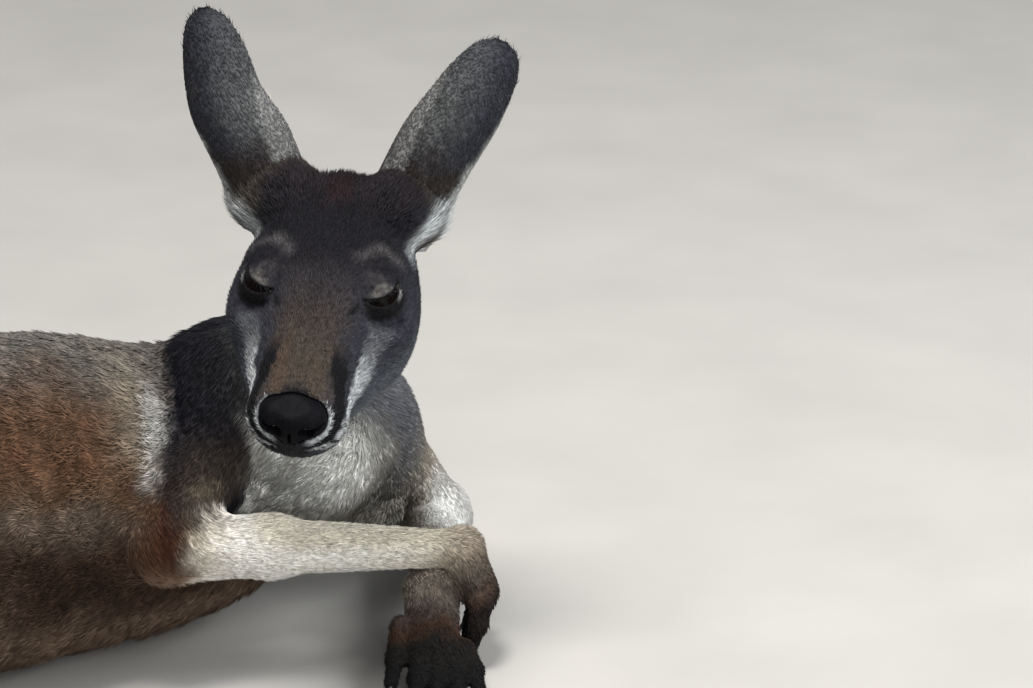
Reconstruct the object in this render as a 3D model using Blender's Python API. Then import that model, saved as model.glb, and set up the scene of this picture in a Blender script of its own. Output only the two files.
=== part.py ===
"""Red kangaroo lying down, life size: a still museum model, in metres, +Z up.

The body is described as soft shapes (ovals, tapered limbs and lofts) that melt into each other.
Each group of shapes becomes one closed mesh, and thin saw cuts part it into named nodes.
The shapes are written in a working frame whose floor is z = 0: +X is the animal's left,
its nose points to -Y, and its back half lies towards -X. At the end everything moves so that
the origin is under the middle of the whole model.
"""
import math

import bmesh
import bpy
import numpy as np

# ---- fits and resolution -----------------------------------------------------------------------
GAP = 0.0004            # width of a saw cut, and clearance where one piece is let into another
BODY_STEP = 0.005       # grid spacing for the body, before it is simplified
LIMB_STEP = 0.003       # grid spacing for the limbs
BODY_TRIANGLES = 2080
ARM_TRIANGLES = 570
LEG_TRIANGLES = 390
FAR = 0.09              # field value well outside the body
BLOCK = 12              # grid cells along one side of a sampling block
MARGIN = 0.06           # how far beyond its box a shape still melts into its neighbours
SHARP = math.radians(40)

# ---- head: coordinates are (forward to the nose, to the animal's left, up), from the poll ----
POLL = np.array((-0.0995, -0.508, 0.293))
HEAD_PITCH = math.radians(29)
HEAD_YAW = math.radians(9.5)
HEAD_ROLL = math.radians(5.5)
EYE_RADIUS = 0.0125
EYE_SEAT = (0.0800, 0.0335, -0.0190)
EYE_SLIT = (0.0145, 0.0125, 0.0030)
NOSE_PAD = (0.0125, 0.0188, 0.0128)
NOSE_SEAT = (0.1740, 0.0, -0.0195)
NOSTRIL = (0.0050, 0.0042, 0.0034)
NOSTRIL_SEAT = (0.0100, 0.0085, -0.0010)     # from the middle of the nose pad
SLIT_SEAT = (0.004, 0.013, -0.002)           # from the middle of the eye

# ---- ears: centre line from root to tip, half width, and how far the back is turned sideways ----
EARS = {
    "right": {"line": ((-0.139, -0.499, 0.262), (-0.154, -0.497, 0.302), (-0.1675, -0.494, 0.330),
                       (-0.1752, -0.492, 0.3596), (-0.1805, -0.492, 0.385)),
              "half": 0.0255, "turn": -0.35},
    "left": {"line": ((-0.0720, -0.499, 0.250), (-0.0490, -0.497, 0.296), (-0.0295, -0.494, 0.327),
                      (-0.0165, -0.492, 0.3476), (-0.0080, -0.492, 0.3650)),
             "half": 0.0250, "turn": 0.25},
}
EAR_PROFILE = ((0.0, 0.92), (0.12, 0.98), (0.30, 1.0), (0.45, 0.98), (0.62, 0.91), (0.78, 0.79),
               (0.90, 0.58), (0.97, 0.34), (1.0, 0.08))
EAR_WRAP = ((0.0, 165.0), (0.18, 125.0), (0.4, 95.0), (0.7, 80.0), (1.0, 60.0))
EAR_THICKNESS = 0.0042
EAR_ROOT_SPAN = (1, 3)                       # the head's own cone inside the ear, in tenths of its line
EAR_ROOT_RADII = (0.0258, 0.0185)
EAR_ROWS, EAR_COLUMNS = 8, 7

# ---- trunk: centre, half width, half height, and how far the belly is rolled over, in radians ----
SPINE = (
    ((-0.130, -0.487, 0.104), 0.050, 0.050, 0.00),
    ((-0.160, -0.480, 0.098), 0.064, 0.070, 0.05),
    ((-0.216, -0.488, 0.086), 0.084, 0.088, 0.10),
    ((-0.294, -0.530, 0.096), 0.098, 0.101, 0.25),
    ((-0.390, -0.585, 0.103), 0.106, 0.110, 0.45),
    ((-0.490, -0.645, 0.106), 0.108, 0.116, 0.70),
    ((-0.590, -0.705, 0.102), 0.106, 0.116, 0.90),
    ((-0.670, -0.745, 0.088), 0.090, 0.096, 0.95),
    ((-0.740, -0.770, 0.066), 0.066, 0.068, 0.95),
)
ROLL_TOWARDS = (0.35, 0.94)     # the level direction that the back leans to as it rolls
NECK = (
    ((-0.148, -0.468, 0.118), 0.056, 0.055),
    ((-0.134, -0.462, 0.160), 0.047, 0.050),
    ((-0.118, -0.462, 0.200), 0.039, 0.045),
    ((-0.108, -0.474, 0.238), 0.037, 0.040),
)
TAIL = (
    ((-0.700, -0.755, 0.080), 0.070),
    ((-0.790, -0.785, 0.056), 0.057),
    ((-0.950, -0.805, 0.044), 0.046),
    ((-1.130, -0.800, 0.035), 0.037),
    ((-1.320, -0.770, 0.026), 0.028),
    ((-1.500, -0.730, 0.015), 0.017),
)

# ---- fore limbs: joints, palm and finger tips, and the direction across the palm ----
ARMS = {
    "left": {"shoulder": (-0.100, -0.452, 0.112), "elbow": (-0.052, -0.376, 0.022),
             "wrist": (-0.051, -0.545, 0.044), "palm": (-0.047, -0.590, 0.020),
             "tips": (-0.045, -0.628, 0.005), "across": (1.0, 0.05, -0.1)},
    "right": {"shoulder": (-0.172, -0.486, 0.142), "elbow": (-0.204, -0.584, 0.088),
              "wrist": (-0.032, -0.545, 0.070), "palm": (-0.020, -0.541, 0.038),
              "tips": (-0.029, -0.532, 0.010), "across": (0.0, -1.0, -0.1)},
}
# side position and reach of each digit, thumb first
FINGERS = ((-1.15, 0.55), (-0.55, 0.92), (0.0, 1.0), (0.55, 0.95), (1.05, 0.75))
FINGER_CLAW = (0.016, 0.0032)
FINGER_CLAW_ROOT = 0.006

# ---- hind limbs, both laid out on the animal's right ----
LEGS = {
    "left": {"hip": (-0.600, -0.735, 0.078), "knee": (-0.455, -0.865, 0.050),
             "ankle": (-0.740, -1.105, 0.0215), "toe": (-0.500, -1.285, 0.0135)},
    "right": {"hip": (-0.600, -0.700, 0.146), "knee": (-0.650, -0.890, 0.132),
              "ankle": (-0.975, -1.060, 0.0215), "toe": (-0.855, -1.335, 0.0135)},
}
# toe roots and tips as (distance back from the long toe's tip, sideways), radii, claw length
TOES = (
    ("fourth", (0.110, 0.000), (0.002, 0.000), 0.0155, 0.0105, 0.026),
    ("fifth", (0.105, -0.018), (0.048, -0.024), 0.0100, 0.0075, 0.017),
    ("second", (0.110, 0.015), (0.070, 0.0255), 0.0065, 0.0050, 0.015),
    ("third", (0.110, 0.010), (0.064, 0.0175), 0.0065, 0.0050, 0.015),
)
TOE_CLAW_ROOT = 0.008
CLAW_BEND = 0.30        # how far a claw's tip drops, as a share of its length
CLAW_NARROW = 0.8       # width of a claw over its height

# ---- finishes: colour, roughness, and the starts of the names of the nodes that have them ----
FINISHES = {
    "coat_grey": ((0.105, 0.098, 0.105), 0.9, ("head", "muzzle", "neck", "ear", "upper_arm_right")),
    "coat_rust": ((0.21, 0.125, 0.080), 0.9, ("belly", "rump", "thigh", "shank")),
    "coat_cream": ((0.43, 0.35, 0.27), 0.9, ("chest", "forearm", "upper_arm_left")),
    "coat_brown": ((0.13, 0.095, 0.075), 0.9, ("hand", "foot", "tail")),
    "nose": ((0.012, 0.011, 0.012), 0.45, ("nose",)),
    "eye": ((0.020, 0.012, 0.008), 0.08, ("eye",)),
    "claw": ((0.020, 0.017, 0.015), 0.35, ("claw", "toe_claw")),
}


# ---- vectors ---------------------------------------------------------------------------------
def vector(values):
    return np.array(values, float)


def unit(values):
    values = vector(values)
    return values / np.linalg.norm(values)


def blend_between(start, end, share):
    return vector(start) + (vector(end) - vector(start)) * share


def head_axes():
    """Rows: forward to the nose, to the animal's left, and up out of the forehead."""
    forward = vector((-math.sin(HEAD_YAW) * math.cos(HEAD_PITCH),
                      -math.cos(HEAD_YAW) * math.cos(HEAD_PITCH), -math.sin(HEAD_PITCH)))
    level_left = unit(np.cross(forward, (0, 0, 1))) * -1
    level_up = np.cross(forward, level_left)
    left = level_left * math.cos(HEAD_ROLL) - level_up * math.sin(HEAD_ROLL)
    return np.array((forward, left, np.cross(forward, left)))


HEAD_AXES = head_axes()


def on_head(forward, left, up):
    return POLL + vector((forward, left, up)) @ HEAD_AXES


# ---- soft shapes -----------------------------------------------------------------------------
class Oval:
    """An ellipsoid; 'blend' is how widely it melts into what is there already."""

    def __init__(self, centre, radii, axes=None, blend=0.02):
        self.centre, self.radii, self.blend = vector(centre), vector(radii), blend
        self.axes = np.eye(3) if axes is None else axes
        reach = np.abs(self.axes.T) @ self.radii
        self.low, self.high = self.centre - reach, self.centre + reach

    def distance(self, points):
        local = (points - self.centre) @ self.axes.T
        near = np.linalg.norm(local / self.radii, axis=1)
        slope = np.linalg.norm(local / self.radii ** 2, axis=1)
        return near * (near - 1) / np.maximum(slope, 1e-9)


class Limb:
    """A tapered capsule, which may be widened along 'side'."""

    def __init__(self, start, end, start_radius, end_radius, blend=0.02, side=None, widen=1.0):
        self.start, self.end = vector(start), vector(end)
        self.radii, self.blend = (start_radius, end_radius), blend
        self.side, self.widen = None if side is None else unit(side), widen
        reach = max(self.radii) * max(1.0, widen)
        self.low = np.minimum(self.start, self.end) - reach
        self.high = np.maximum(self.start, self.end) + reach

    def distance(self, points):
        axis = self.end - self.start
        offset = points - self.start
        share = np.clip(offset @ axis / (axis @ axis), 0, 1)
        offset = offset - share[:, None] * axis
        if self.side is not None:
            sideways = offset @ self.side
            offset = offset - (sideways * (1 - 1 / self.widen))[:, None] * self.side
        radius = self.radii[0] + (self.radii[1] - self.radii[0]) * share
        return np.linalg.norm(offset, axis=1) - radius


def smooth_line(points, count):
    """Catmull-Rom curve through the rows of 'points'."""
    points = np.asarray(points, float)
    place = np.linspace(0, len(points) - 1, count)
    index = np.minimum(place.astype(int), len(points) - 2)
    share = (place - index)[:, None]
    a, b, c, d = (points[np.clip(index + k, 0, len(points) - 1)] for k in (-1, 0, 1, 2))
    return 0.5 * (2 * b + (c - a) * share + (2 * a - 5 * b + 4 * c - d) * share ** 2
                  + (3 * b - a - 3 * c + d) * share ** 3)


class Loft:
    """A tube along a smooth line, oval in section, with rounded ends."""

    def __init__(self, line, across, along, ups, blend=0.02, count=48):
        self.line, self.blend = smooth_line(line, count), blend
        self.across = smooth_line(vector(across)[:, None], count)[:, 0]
        self.along = smooth_line(vector(along)[:, None], count)[:, 0]
        step = np.gradient(self.line, axis=0)
        self.spacing = np.linalg.norm(step, axis=1)
        self.forward = step / self.spacing[:, None]
        up = smooth_line(ups, count)
        up -= (up * self.forward).sum(1)[:, None] * self.forward
        self.up = up / np.linalg.norm(up, axis=1)[:, None]
        self.side = np.cross(self.forward, self.up)
        reach = max(self.across.max(), self.along.max())
        self.low, self.high = self.line.min(0) - reach, self.line.max(0) + reach

    def distance(self, points):
        squared = (points ** 2).sum(1)[:, None] - 2 * points @ self.line.T + (self.line ** 2).sum(1)
        nearest = squared.argmin(1)
        shift = ((points - self.line[nearest]) * self.forward[nearest]).sum(1)
        place = np.clip(nearest + shift / self.spacing[nearest], 0, len(self.line) - 1)
        index = np.minimum(place.astype(int), len(self.line) - 2)
        share = place - index

        def between(rows):
            weight = share[:, None] if rows.ndim > 1 else share
            return rows[index] + (rows[index + 1] - rows[index]) * weight

        offset = points - between(self.line)
        across, along = between(self.across), between(self.along)
        radii = np.stack((across, along, (across + along) / 2), 1)
        local = np.stack([(offset * between(axis)).sum(1) for axis in (self.side, self.up, self.forward)], 1)
        near = np.linalg.norm(local / radii, axis=1)
        slope = np.linalg.norm(local / radii ** 2, axis=1)
        return np.where(slope < 1e-6, -np.minimum(across, along), near * (near - 1) / np.maximum(slope, 1e-6))


class Form:
    """Shapes melted together in order, negative inside."""

    def __init__(self, shapes):
        self.shapes = shapes
        self.low = np.min([shape.low for shape in shapes], axis=0) - 0.02
        self.high = np.max([shape.high for shape in shapes], axis=0) + 0.02

    def distance(self, points):
        field = np.full(len(points), FAR)
        for shape in self.shapes:
            near = np.all((points > shape.low - MARGIN) & (points < shape.high + MARGIN), axis=1)
            if near.any():
                here, there = field[near], shape.distance(points[near])
                overlap = np.maximum(shape.blend - np.abs(here - there), 0) / shape.blend
                field[near] = np.minimum(here, there) - overlap ** 2 * shape.blend / 4
        return field


# ---- anatomy ---------------------------------------------------------------------------------
def trunk_shapes():
    centres, across, along, rolls = zip(*SPINE)
    ups = [(*(math.sin(roll) * vector(ROLL_TOWARDS)), math.cos(roll)) for roll in rolls]
    withers = Oval((-0.180, -0.455, 0.132), (0.055, 0.045, 0.033), blend=0.03)
    return [Loft(centres, across, along, ups), withers]


def neck_shapes():
    centres, across, along = zip(*NECK)
    return [Loft(centres, across, along, [(0, 1, 0)] * len(NECK), blend=0.025, count=24)]


def tail_shapes():
    centres, radii = zip(*TAIL)
    return [Loft(centres, radii, radii, [(0, 0, 1)] * len(TAIL), blend=0.03, count=40)]


def head_shapes():
    def oval(centre, radii, blend=0.02):
        return Oval(on_head(*centre), radii, HEAD_AXES, blend)

    def limb(start, end, start_radius, end_radius, blend, widen):
        return Limb(on_head(*start), on_head(*end), start_radius, end_radius, blend, HEAD_AXES[1], widen)

    cranium = oval((0.040, 0, -0.033), (0.048, 0.044, 0.038))
    forehead = oval((0.072, 0, -0.033), (0.042, 0.043, 0.033))
    crown = oval((0.018, 0, -0.0245), (0.028, 0.026, 0.025), 0.014)
    muzzle = limb((0.085, 0, -0.040), (0.156, 0, -0.033), 0.0355, 0.0255, 0.02, 1.12)
    lips = oval((0.164, 0, -0.0315), (0.0178, 0.0248, 0.0202), 0.014)
    jaw = limb((0.065, 0, -0.068), (0.149, 0, -0.050), 0.024, 0.0120, 0.012, 1.40)
    shapes = [cranium, forehead, crown, muzzle, lips, jaw]
    for side in (-1, 1):
        shapes += [
            oval((0.070, side * 0.031, -0.052), (0.043, 0.0225, 0.034)),
            oval((0.108, side * 0.024, -0.044), (0.032, 0.014, 0.018), 0.015),
            oval((0.084, side * 0.040, -0.034), (0.022, 0.0125, 0.014), 0.012),
            oval((0.070, side * 0.033, -0.013), (0.018, 0.013, 0.011), 0.012),
            oval((EYE_SEAT[0], side * EYE_SEAT[1], EYE_SEAT[2]), (0.0152, 0.0146, 0.0146), 0.006),
            oval((0.018, side * 0.031, -0.013), (0.022, 0.0215, 0.023), 0.011),
        ]
    for shape in EARS.values():
        root, above = smooth_line(shape["line"], 11)[list(EAR_ROOT_SPAN)]
        shapes.append(Limb(root, above, *EAR_ROOT_RADII, 0.012))
    return shapes


def haunch_shapes():
    """The upper thighs, which melt into the rump."""
    return [Limb(leg["hip"], blend_between(leg["hip"], leg["knee"], 0.5), 0.086, 0.072, 0.04)
            for leg in LEGS.values()]


def leg_shapes(side):
    leg = {name: vector(place) for name, place in LEGS[side].items()}
    hip, knee, ankle = leg["hip"], leg["knee"], leg["ankle"]
    forward, across = foot_axes(side)
    shapes = [
        Limb(blend_between(hip, knee, 0.45), knee, 0.074, 0.047, 0.03),
        Limb(knee, blend_between(knee, ankle, 0.35), 0.045, 0.041, 0.02),
        Limb(blend_between(knee, ankle, 0.3), ankle, 0.039, 0.020, 0.02),
        Limb(ankle, ankle + forward * 0.10 - (0, 0, 0.003), 0.023, 0.0185, 0.015),
        Limb(ankle + forward * 0.08 - (0, 0, 0.004), leg["toe"] - forward * 0.09, 0.018, 0.0165, 0.015,
             across, 1.25),
    ]
    for _, root, tip, root_radius, tip_radius, _ in TOES:
        start, end = (leg["toe"] - forward * back + across * out for back, out in (root, tip))
        shapes.append(Limb(start, end, root_radius, tip_radius, 0.006))
    return shapes


def foot_axes(side):
    """Forward along the foot, and across it towards its inner toes."""
    forward = unit(vector(LEGS[side]["toe"]) - vector(LEGS[side]["ankle"]))
    inward = 1 if side == "left" else -1
    return forward, unit(np.cross(forward, (0, 0, 1))) * inward


def finger_points(side):
    """Root, middle and tip of each digit."""
    arm = {name: vector(place) for name, place in ARMS[side].items()}
    wrist, palm, tips = arm["wrist"], arm["palm"], arm["tips"]
    along = unit(palm - wrist)
    across = unit(arm["across"] - (arm["across"] @ along) * along)
    for number, (spread, reach) in enumerate(FINGERS):
        root = blend_between(wrist, palm, 0.55 if number == 0 else 0.9) + across * spread * 0.017
        middle = blend_between(palm, tips, reach - 0.5) + across * spread * 0.021
        tip = blend_between(palm, tips, reach) + across * spread * 0.0235
        yield root, middle, tip, across


def arm_shapes(side):
    arm = {name: vector(place) for name, place in ARMS[side].items()}
    shoulder, elbow, wrist = arm["shoulder"], arm["elbow"], arm["wrist"]
    middle = blend_between(elbow, wrist, 0.35)
    shapes = [
        Oval(shoulder, (0.036, 0.040, 0.042), blend=0.03),
        Limb(shoulder, elbow, 0.036, 0.023, 0.03),
        Limb(elbow, middle, 0.0225, 0.0190, 0.012),
        Limb(middle, wrist, 0.0182, 0.0118, 0.010),
        Limb(wrist, blend_between(wrist, arm["palm"], 0.9), 0.0125, 0.0118, 0.008, arm["across"], 1.4),
    ]
    for root, knuckle, tip, _ in finger_points(side):
        shapes += [Limb(root, knuckle, 0.0068, 0.0058, 0.006), Limb(knuckle, tip, 0.0058, 0.0046, 0.004)]
    return shapes


# ---- meshing ---------------------------------------------------------------------------------
def sample(form, step):
    """Field values on a grid; blocks far from the surface only get their sign."""
    blocks = np.ceil((form.high - form.low) / step / BLOCK).astype(int)
    corners = np.stack(np.meshgrid(*[np.arange(n) for n in blocks], indexing="ij"), -1).reshape(-1, 3)
    middle = form.distance(form.low + ((corners + 0.5) * BLOCK - 0.5) * step)
    grid = (np.sign(middle) * FAR).reshape(blocks)
    for axis in range(3):
        grid = np.repeat(grid, BLOCK, axis)
    reach = BLOCK * step * 0.5 * math.sqrt(3) * 1.25 + step
    inner = np.stack(np.meshgrid(*[np.arange(BLOCK)] * 3, indexing="ij"), -1).reshape(-1, 3)
    for corner in corners[np.abs(middle) < reach] * BLOCK:
        cells = corner + inner
        grid[tuple(cells.T)] = form.distance(form.low + cells * step)
    return grid


CORNERS = [(i, j, k) for i in (0, 1) for j in (0, 1) for k in (0, 1)]


def pinched(code):
    """Whether a cell with these inside corners would make the surface touch itself."""
    inside = [bool(code >> bit & 1) for bit in range(8)]
    for axis in range(3):
        for level in (0, 1):
            face = [inside[bit] for bit in range(8) if CORNERS[bit][axis] == level]
            if face[0] == face[3] != face[1] == face[2]:
                return True
    for side in (False, True):
        members = [bit for bit in range(8) if inside[bit] == side]
        reached = set(members[:1])
        for _ in members:
            reached |= {bit for bit in members for other in reached if (bit ^ other) in (1, 2, 4)}
        if len(reached) < len(members):
            return True
    return False


def settle(grid, step):
    """Fills the cells in which the surface would touch itself, such as the forks between toes."""
    table = np.array([pinched(code) for code in range(256)])
    size = np.array(grid.shape) - 1
    while True:
        code = np.zeros(size, int)
        for bit, (i, j, k) in enumerate(CORNERS):
            code |= (grid[i:size[0] + i, j:size[1] + j, k:size[2] + k] < 0).astype(int) << bit
        bad = np.argwhere(table[code])
        if not len(bad):
            return grid
        for corner in CORNERS:
            cells = tuple((bad + corner).T)
            grid[cells] = np.minimum(grid[cells], -0.1 * step)


def surface_nets(grid, low, step):
    """Quads round the zero level of the grid: one point in each cell that the surface crosses."""
    grid = settle(grid, step)
    inside = grid < 0
    size = np.array(grid.shape) - 1
    count = sum(inside[i:size[0] + i, j:size[1] + j, k:size[2] + k].astype(int) for i, j, k in CORNERS)
    cells = np.argwhere((count > 0) & (count < 8))
    number = np.full(size, -1)
    number[tuple(cells.T)] = np.arange(len(cells))
    values = {corner: grid[tuple((cells + corner).T)] for corner in CORNERS}
    total, hits = np.zeros((len(cells), 3)), np.zeros(len(cells))
    for corner in CORNERS:
        for axis in range(3):
            if corner[axis]:
                continue
            other = tuple(1 if k == axis else corner[k] for k in range(3))
            first, second = values[corner], values[other]
            crossing = (first < 0) != (second < 0)
            point = np.tile(vector(corner), (len(cells), 1))
            point[:, axis] = first / np.where(crossing, first - second, 1)
            total += point * crossing[:, None]
            hits += crossing
    points = low + (cells + total / hits[:, None]) * step
    quads = []
    for axis in range(3):
        one, two = (k for k in range(3) if k != axis)
        here = [slice(1, n) for n in size]
        there = list(here)
        here[axis], there[axis] = slice(0, size[axis]), slice(1, size[axis] + 1)
        change = np.argwhere(inside[tuple(here)] != inside[tuple(there)])
        outward = inside[tuple(here)][tuple(change.T)]
        base = change + 1
        base[:, axis] -= 1
        ring = []
        for step_one, step_two in ((0, 0), (-1, 0), (-1, -1), (0, -1)):
            cell = base.copy()
            cell[:, one] += step_one
            cell[:, two] += step_two
            ring.append(number[tuple(cell.T)])
        ring = np.stack(ring, 1)
        turned = outward if axis == 1 else ~outward
        ring[turned] = ring[turned][:, ::-1]
        quads.append(ring)
    return points, np.concatenate(quads)


# ---- Blender objects -------------------------------------------------------------------------
def make_object(name, points, faces):
    mesh = bpy.data.meshes.new(name)
    mesh.from_pydata([tuple(p) for p in points], [], [tuple(int(i) for i in face) for face in faces])
    mesh.update()
    thing = bpy.data.objects.new(name, mesh)
    bpy.context.scene.collection.objects.link(thing)
    return thing


def bake(thing):
    """Replaces an object's mesh with its modified one."""
    graph = bpy.context.evaluated_depsgraph_get()
    mesh = bpy.data.meshes.new_from_object(thing.evaluated_get(graph))
    thing.modifiers.clear()
    thing.data = mesh


def edit(thing, work):
    """Runs work(bmesh) on the object's mesh."""
    mesh = bmesh.new()
    mesh.from_mesh(thing.data)
    work(mesh)
    mesh.to_mesh(thing.data)
    mesh.free()


def discard(thing):
    bpy.data.objects.remove(thing, do_unlink=True)


def as_cutter(thing):
    thing.display_type, thing.hide_render = "WIRE", True
    return thing


def carve(thing, cutter):
    """Takes a cutter's room out of an object, and removes the cutter."""
    cut = thing.modifiers.new("cut", "BOOLEAN")
    cut.operation, cut.solver, cut.object = "DIFFERENCE", "EXACT", as_cutter(cutter)
    bake(thing)
    discard(cutter)


def twin(thing, name):
    copy = bpy.data.objects.new(name, thing.data.copy())
    bpy.context.scene.collection.objects.link(copy)
    return copy


def let_in(host, guest):
    """Takes a guest's room, with clearance, out of its host."""
    cutter = twin(guest, guest.name + "_room")
    normals = [vertex.normal.copy() for vertex in cutter.data.vertices]
    for vertex, normal in zip(cutter.data.vertices, normals):
        vertex.co += normal * GAP
    carve(host, cutter)


def disc(centre, normal, radius):
    """A thin round saw cut."""
    normal = unit(normal)
    first = unit(np.cross(normal, (0.3, 0.2, 1.0)))
    second = np.cross(normal, first)
    points = []
    for half in (-0.5, 0.5):
        for k in range(24):
            angle = 2 * math.pi * k / 24
            rim = first * math.cos(angle) + second * math.sin(angle)
            points.append(vector(centre) + rim * radius + normal * half * GAP)
    faces = [[k, (k + 1) % 24, (k + 1) % 24 + 24, k + 24] for k in range(24)]
    faces += [list(range(23, -1, -1)), list(range(24, 48))]
    return make_object("saw", points, faces)


def islands(thing):
    """The object's separate bodies, each as (points, faces)."""
    mesh = bmesh.new()
    mesh.from_mesh(thing.data)
    unseen = set(mesh.verts)
    found = []
    while unseen:
        stack, group = [unseen.pop()], []
        while stack:
            vertex = stack.pop()
            group.append(vertex)
            for edge in vertex.link_edges:
                other = edge.other_vert(vertex)
                if other in unseen:
                    unseen.remove(other)
                    stack.append(other)
        place = {vertex: k for k, vertex in enumerate(group)}
        faces = {face for vertex in group for face in vertex.link_faces}
        faces = [[place[v] for v in face.verts] for face in sorted(faces, key=lambda f: f.index)]
        found.append(([tuple(v.co) for v in group], faces))
    mesh.free()
    return sorted(found, key=lambda body: -len(body[0]))


def keep_largest(thing):
    points, faces = islands(thing)[0]
    name = thing.name
    discard(thing)
    return make_object(name, points, faces)


def part(thing, cuts, seeds):
    """Saws an object apart and names each body after the nearest seed."""
    for centre, normal, radius in cuts:
        carve(thing, disc(centre, normal, radius))
    nodes = {}
    for points, faces in islands(thing)[:len(seeds)]:
        middle = (np.min(points, axis=0) + np.max(points, axis=0)) / 2
        name = min(seeds, key=lambda key: np.linalg.norm(vector(seeds[key]) - middle))
        nodes[name] = make_object(name, points, faces)
    discard(thing)
    return nodes


def simplify(thing, triangles):
    count = sum(len(face.vertices) - 2 for face in thing.data.polygons)
    fewer = thing.modifiers.new("fewer", "DECIMATE")
    fewer.ratio = triangles / count
    bake(thing)


def cut_at_floor(thing):
    """Everything below the floor goes, and the cut is closed with a flat."""
    def work(mesh):
        whole = mesh.verts[:] + mesh.edges[:] + mesh.faces[:]
        bmesh.ops.bisect_plane(mesh, geom=whole, plane_co=(0, 0, 0), plane_no=(0, 0, -1), clear_outer=True,
                               dist=1e-6)
        rim = [edge for edge in mesh.edges if edge.is_boundary]
        if rim:
            bmesh.ops.holes_fill(mesh, edges=rim, sides=0)
    edit(thing, work)


def from_form(name, shapes, step, triangles):
    form = Form(shapes)
    thing = make_object(name, *surface_nets(sample(form, step), form.low, step))
    simplify(thing, triangles)
    cut_at_floor(thing)
    return thing


# ---- small solids ----------------------------------------------------------------------------
def ball(name, centre, radii, axes, rings=7, segments=10):
    """An ellipsoid with its poles along the first axis."""
    points = [vector((radii[0], 0, 0))]
    for ring in range(1, rings):
        polar = math.pi * ring / rings
        for k in range(segments):
            turn = 2 * math.pi * k / segments
            points.append(vector((radii[0] * math.cos(polar), radii[1] * math.sin(polar) * math.cos(turn),
                                  radii[2] * math.sin(polar) * math.sin(turn))))
    points.append(vector((-radii[0], 0, 0)))
    faces = []
    for k in range(segments):
        following = (k + 1) % segments
        faces.append([0, 1 + k, 1 + following])
        for ring in range(rings - 2):
            first = 1 + ring * segments
            faces.append([first + k, first + segments + k, first + segments + following, first + following])
        base = 1 + (rings - 2) * segments
        faces.append([base + k, len(points) - 1, base + following])
    return make_object(name, vector(centre) + np.array(points) @ axes, faces)


def claw(name, root, along, down, length, radius, sides=5, rings=3):
    """A curved spike: its root is a flat ring, and its tip bends towards 'down'."""
    along = unit(along)
    down = unit(vector(down) - (vector(down) @ along) * along)
    side = np.cross(along, down)
    points = []
    for ring in range(rings):
        share = ring / rings
        middle = root + along * length * share + down * length * CLAW_BEND * share ** 2
        size = radius * (1 - 0.85 * share ** 1.5)
        for k in range(sides):
            angle = 2 * math.pi * k / sides
            rim = side * CLAW_NARROW * math.cos(angle) + down * math.sin(angle)
            points.append(middle + rim * size)
    points.append(root + along * length + down * length * CLAW_BEND)
    faces = [list(range(sides - 1, -1, -1))]
    for ring in range(rings - 1):
        for k in range(sides):
            following = (k + 1) % sides
            low, high = ring * sides, (ring + 1) * sides
            faces.append([low + k, low + following, high + following, high + k])
    last = (rings - 1) * sides
    faces += [[last + k, last + (k + 1) % sides, len(points) - 1] for k in range(sides)]
    thing = make_object(name, points, faces)
    edit(thing, lambda mesh: bmesh.ops.recalc_face_normals(mesh, faces=mesh.faces[:]))
    cut_at_floor(thing)
    return thing


def ear(side):
    """A cupped leaf: a tube at its root that opens and flattens towards a rounded tip."""
    shape = EARS[side]
    line = smooth_line(shape["line"], EAR_ROWS)
    step = np.gradient(line, axis=0)
    shares = np.linspace(0, 1, EAR_ROWS)
    half = shape["half"] * np.interp(shares, *zip(*EAR_PROFILE))
    wrap = np.radians(np.interp(shares, *zip(*EAR_WRAP)))
    outer, inner = [], []
    for middle, direction, width, angle in zip(line, step, half, wrap):
        along = unit(direction)
        back = unit(vector((0, -1, 0.15)) - (vector((0, -1, 0.15)) @ along) * along)
        across = np.cross(along, back)
        turn = shape["turn"]
        back, across = (back * math.cos(turn) + across * math.sin(turn),
                        across * math.cos(turn) - back * math.sin(turn))
        radius = width / math.sin(min(angle, math.pi / 2))
        axis = middle - back * radius * math.cos(min(angle, math.pi / 2))
        wall = min(EAR_THICKNESS, width * 0.45)
        for column in range(EAR_COLUMNS):
            swing = angle * (2 * column / (EAR_COLUMNS - 1) - 1)
            ray = across * math.sin(swing) + back * math.cos(swing)
            outer.append(axis + ray * radius)
            inner.append(axis + ray * (radius - wall))
    rows, columns, start = EAR_ROWS, EAR_COLUMNS, len(outer)
    faces = []
    for row in range(rows - 1):
        for column in range(columns - 1):
            a = row * columns + column
            ring = [a, a + 1, a + 1 + columns, a + columns]
            faces.append(ring)
            faces.append([start + k for k in reversed(ring)])
    for row in range(rows - 1):
        for column, flip in ((0, False), (columns - 1, True)):
            a, b = row * columns + column, (row + 1) * columns + column
            rim = [a, b, start + b, start + a]
            faces.append(rim[::-1] if flip else rim)
    for row in (0, rows - 1):
        for column in range(columns - 1):
            a, b = row * columns + column, row * columns + column + 1
            faces.append([a, b, start + b, start + a])
    thing = make_object("ear_" + side, outer + inner, faces)
    edit(thing, lambda mesh: bmesh.ops.recalc_face_normals(mesh, faces=mesh.faces[:]))
    return thing


# ---- assembly --------------------------------------------------------------------------------
def hand_claws(side):
    """One claw on each digit, its root let into the finger."""
    claws = {}
    for name, (_, middle, tip, _) in zip(("thumb", "index", "middle", "ring", "little"), finger_points(side)):
        along = unit(tip - middle)
        down = (0, 0, -1) if side == "left" else (-1, 0, 0)
        root = tip - along * (FINGER_CLAW_ROOT - 0.003)
        node = "claw_{}_{}".format(name, side)
        claws[node] = claw(node, root, along, down, *FINGER_CLAW)
    return claws


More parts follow.
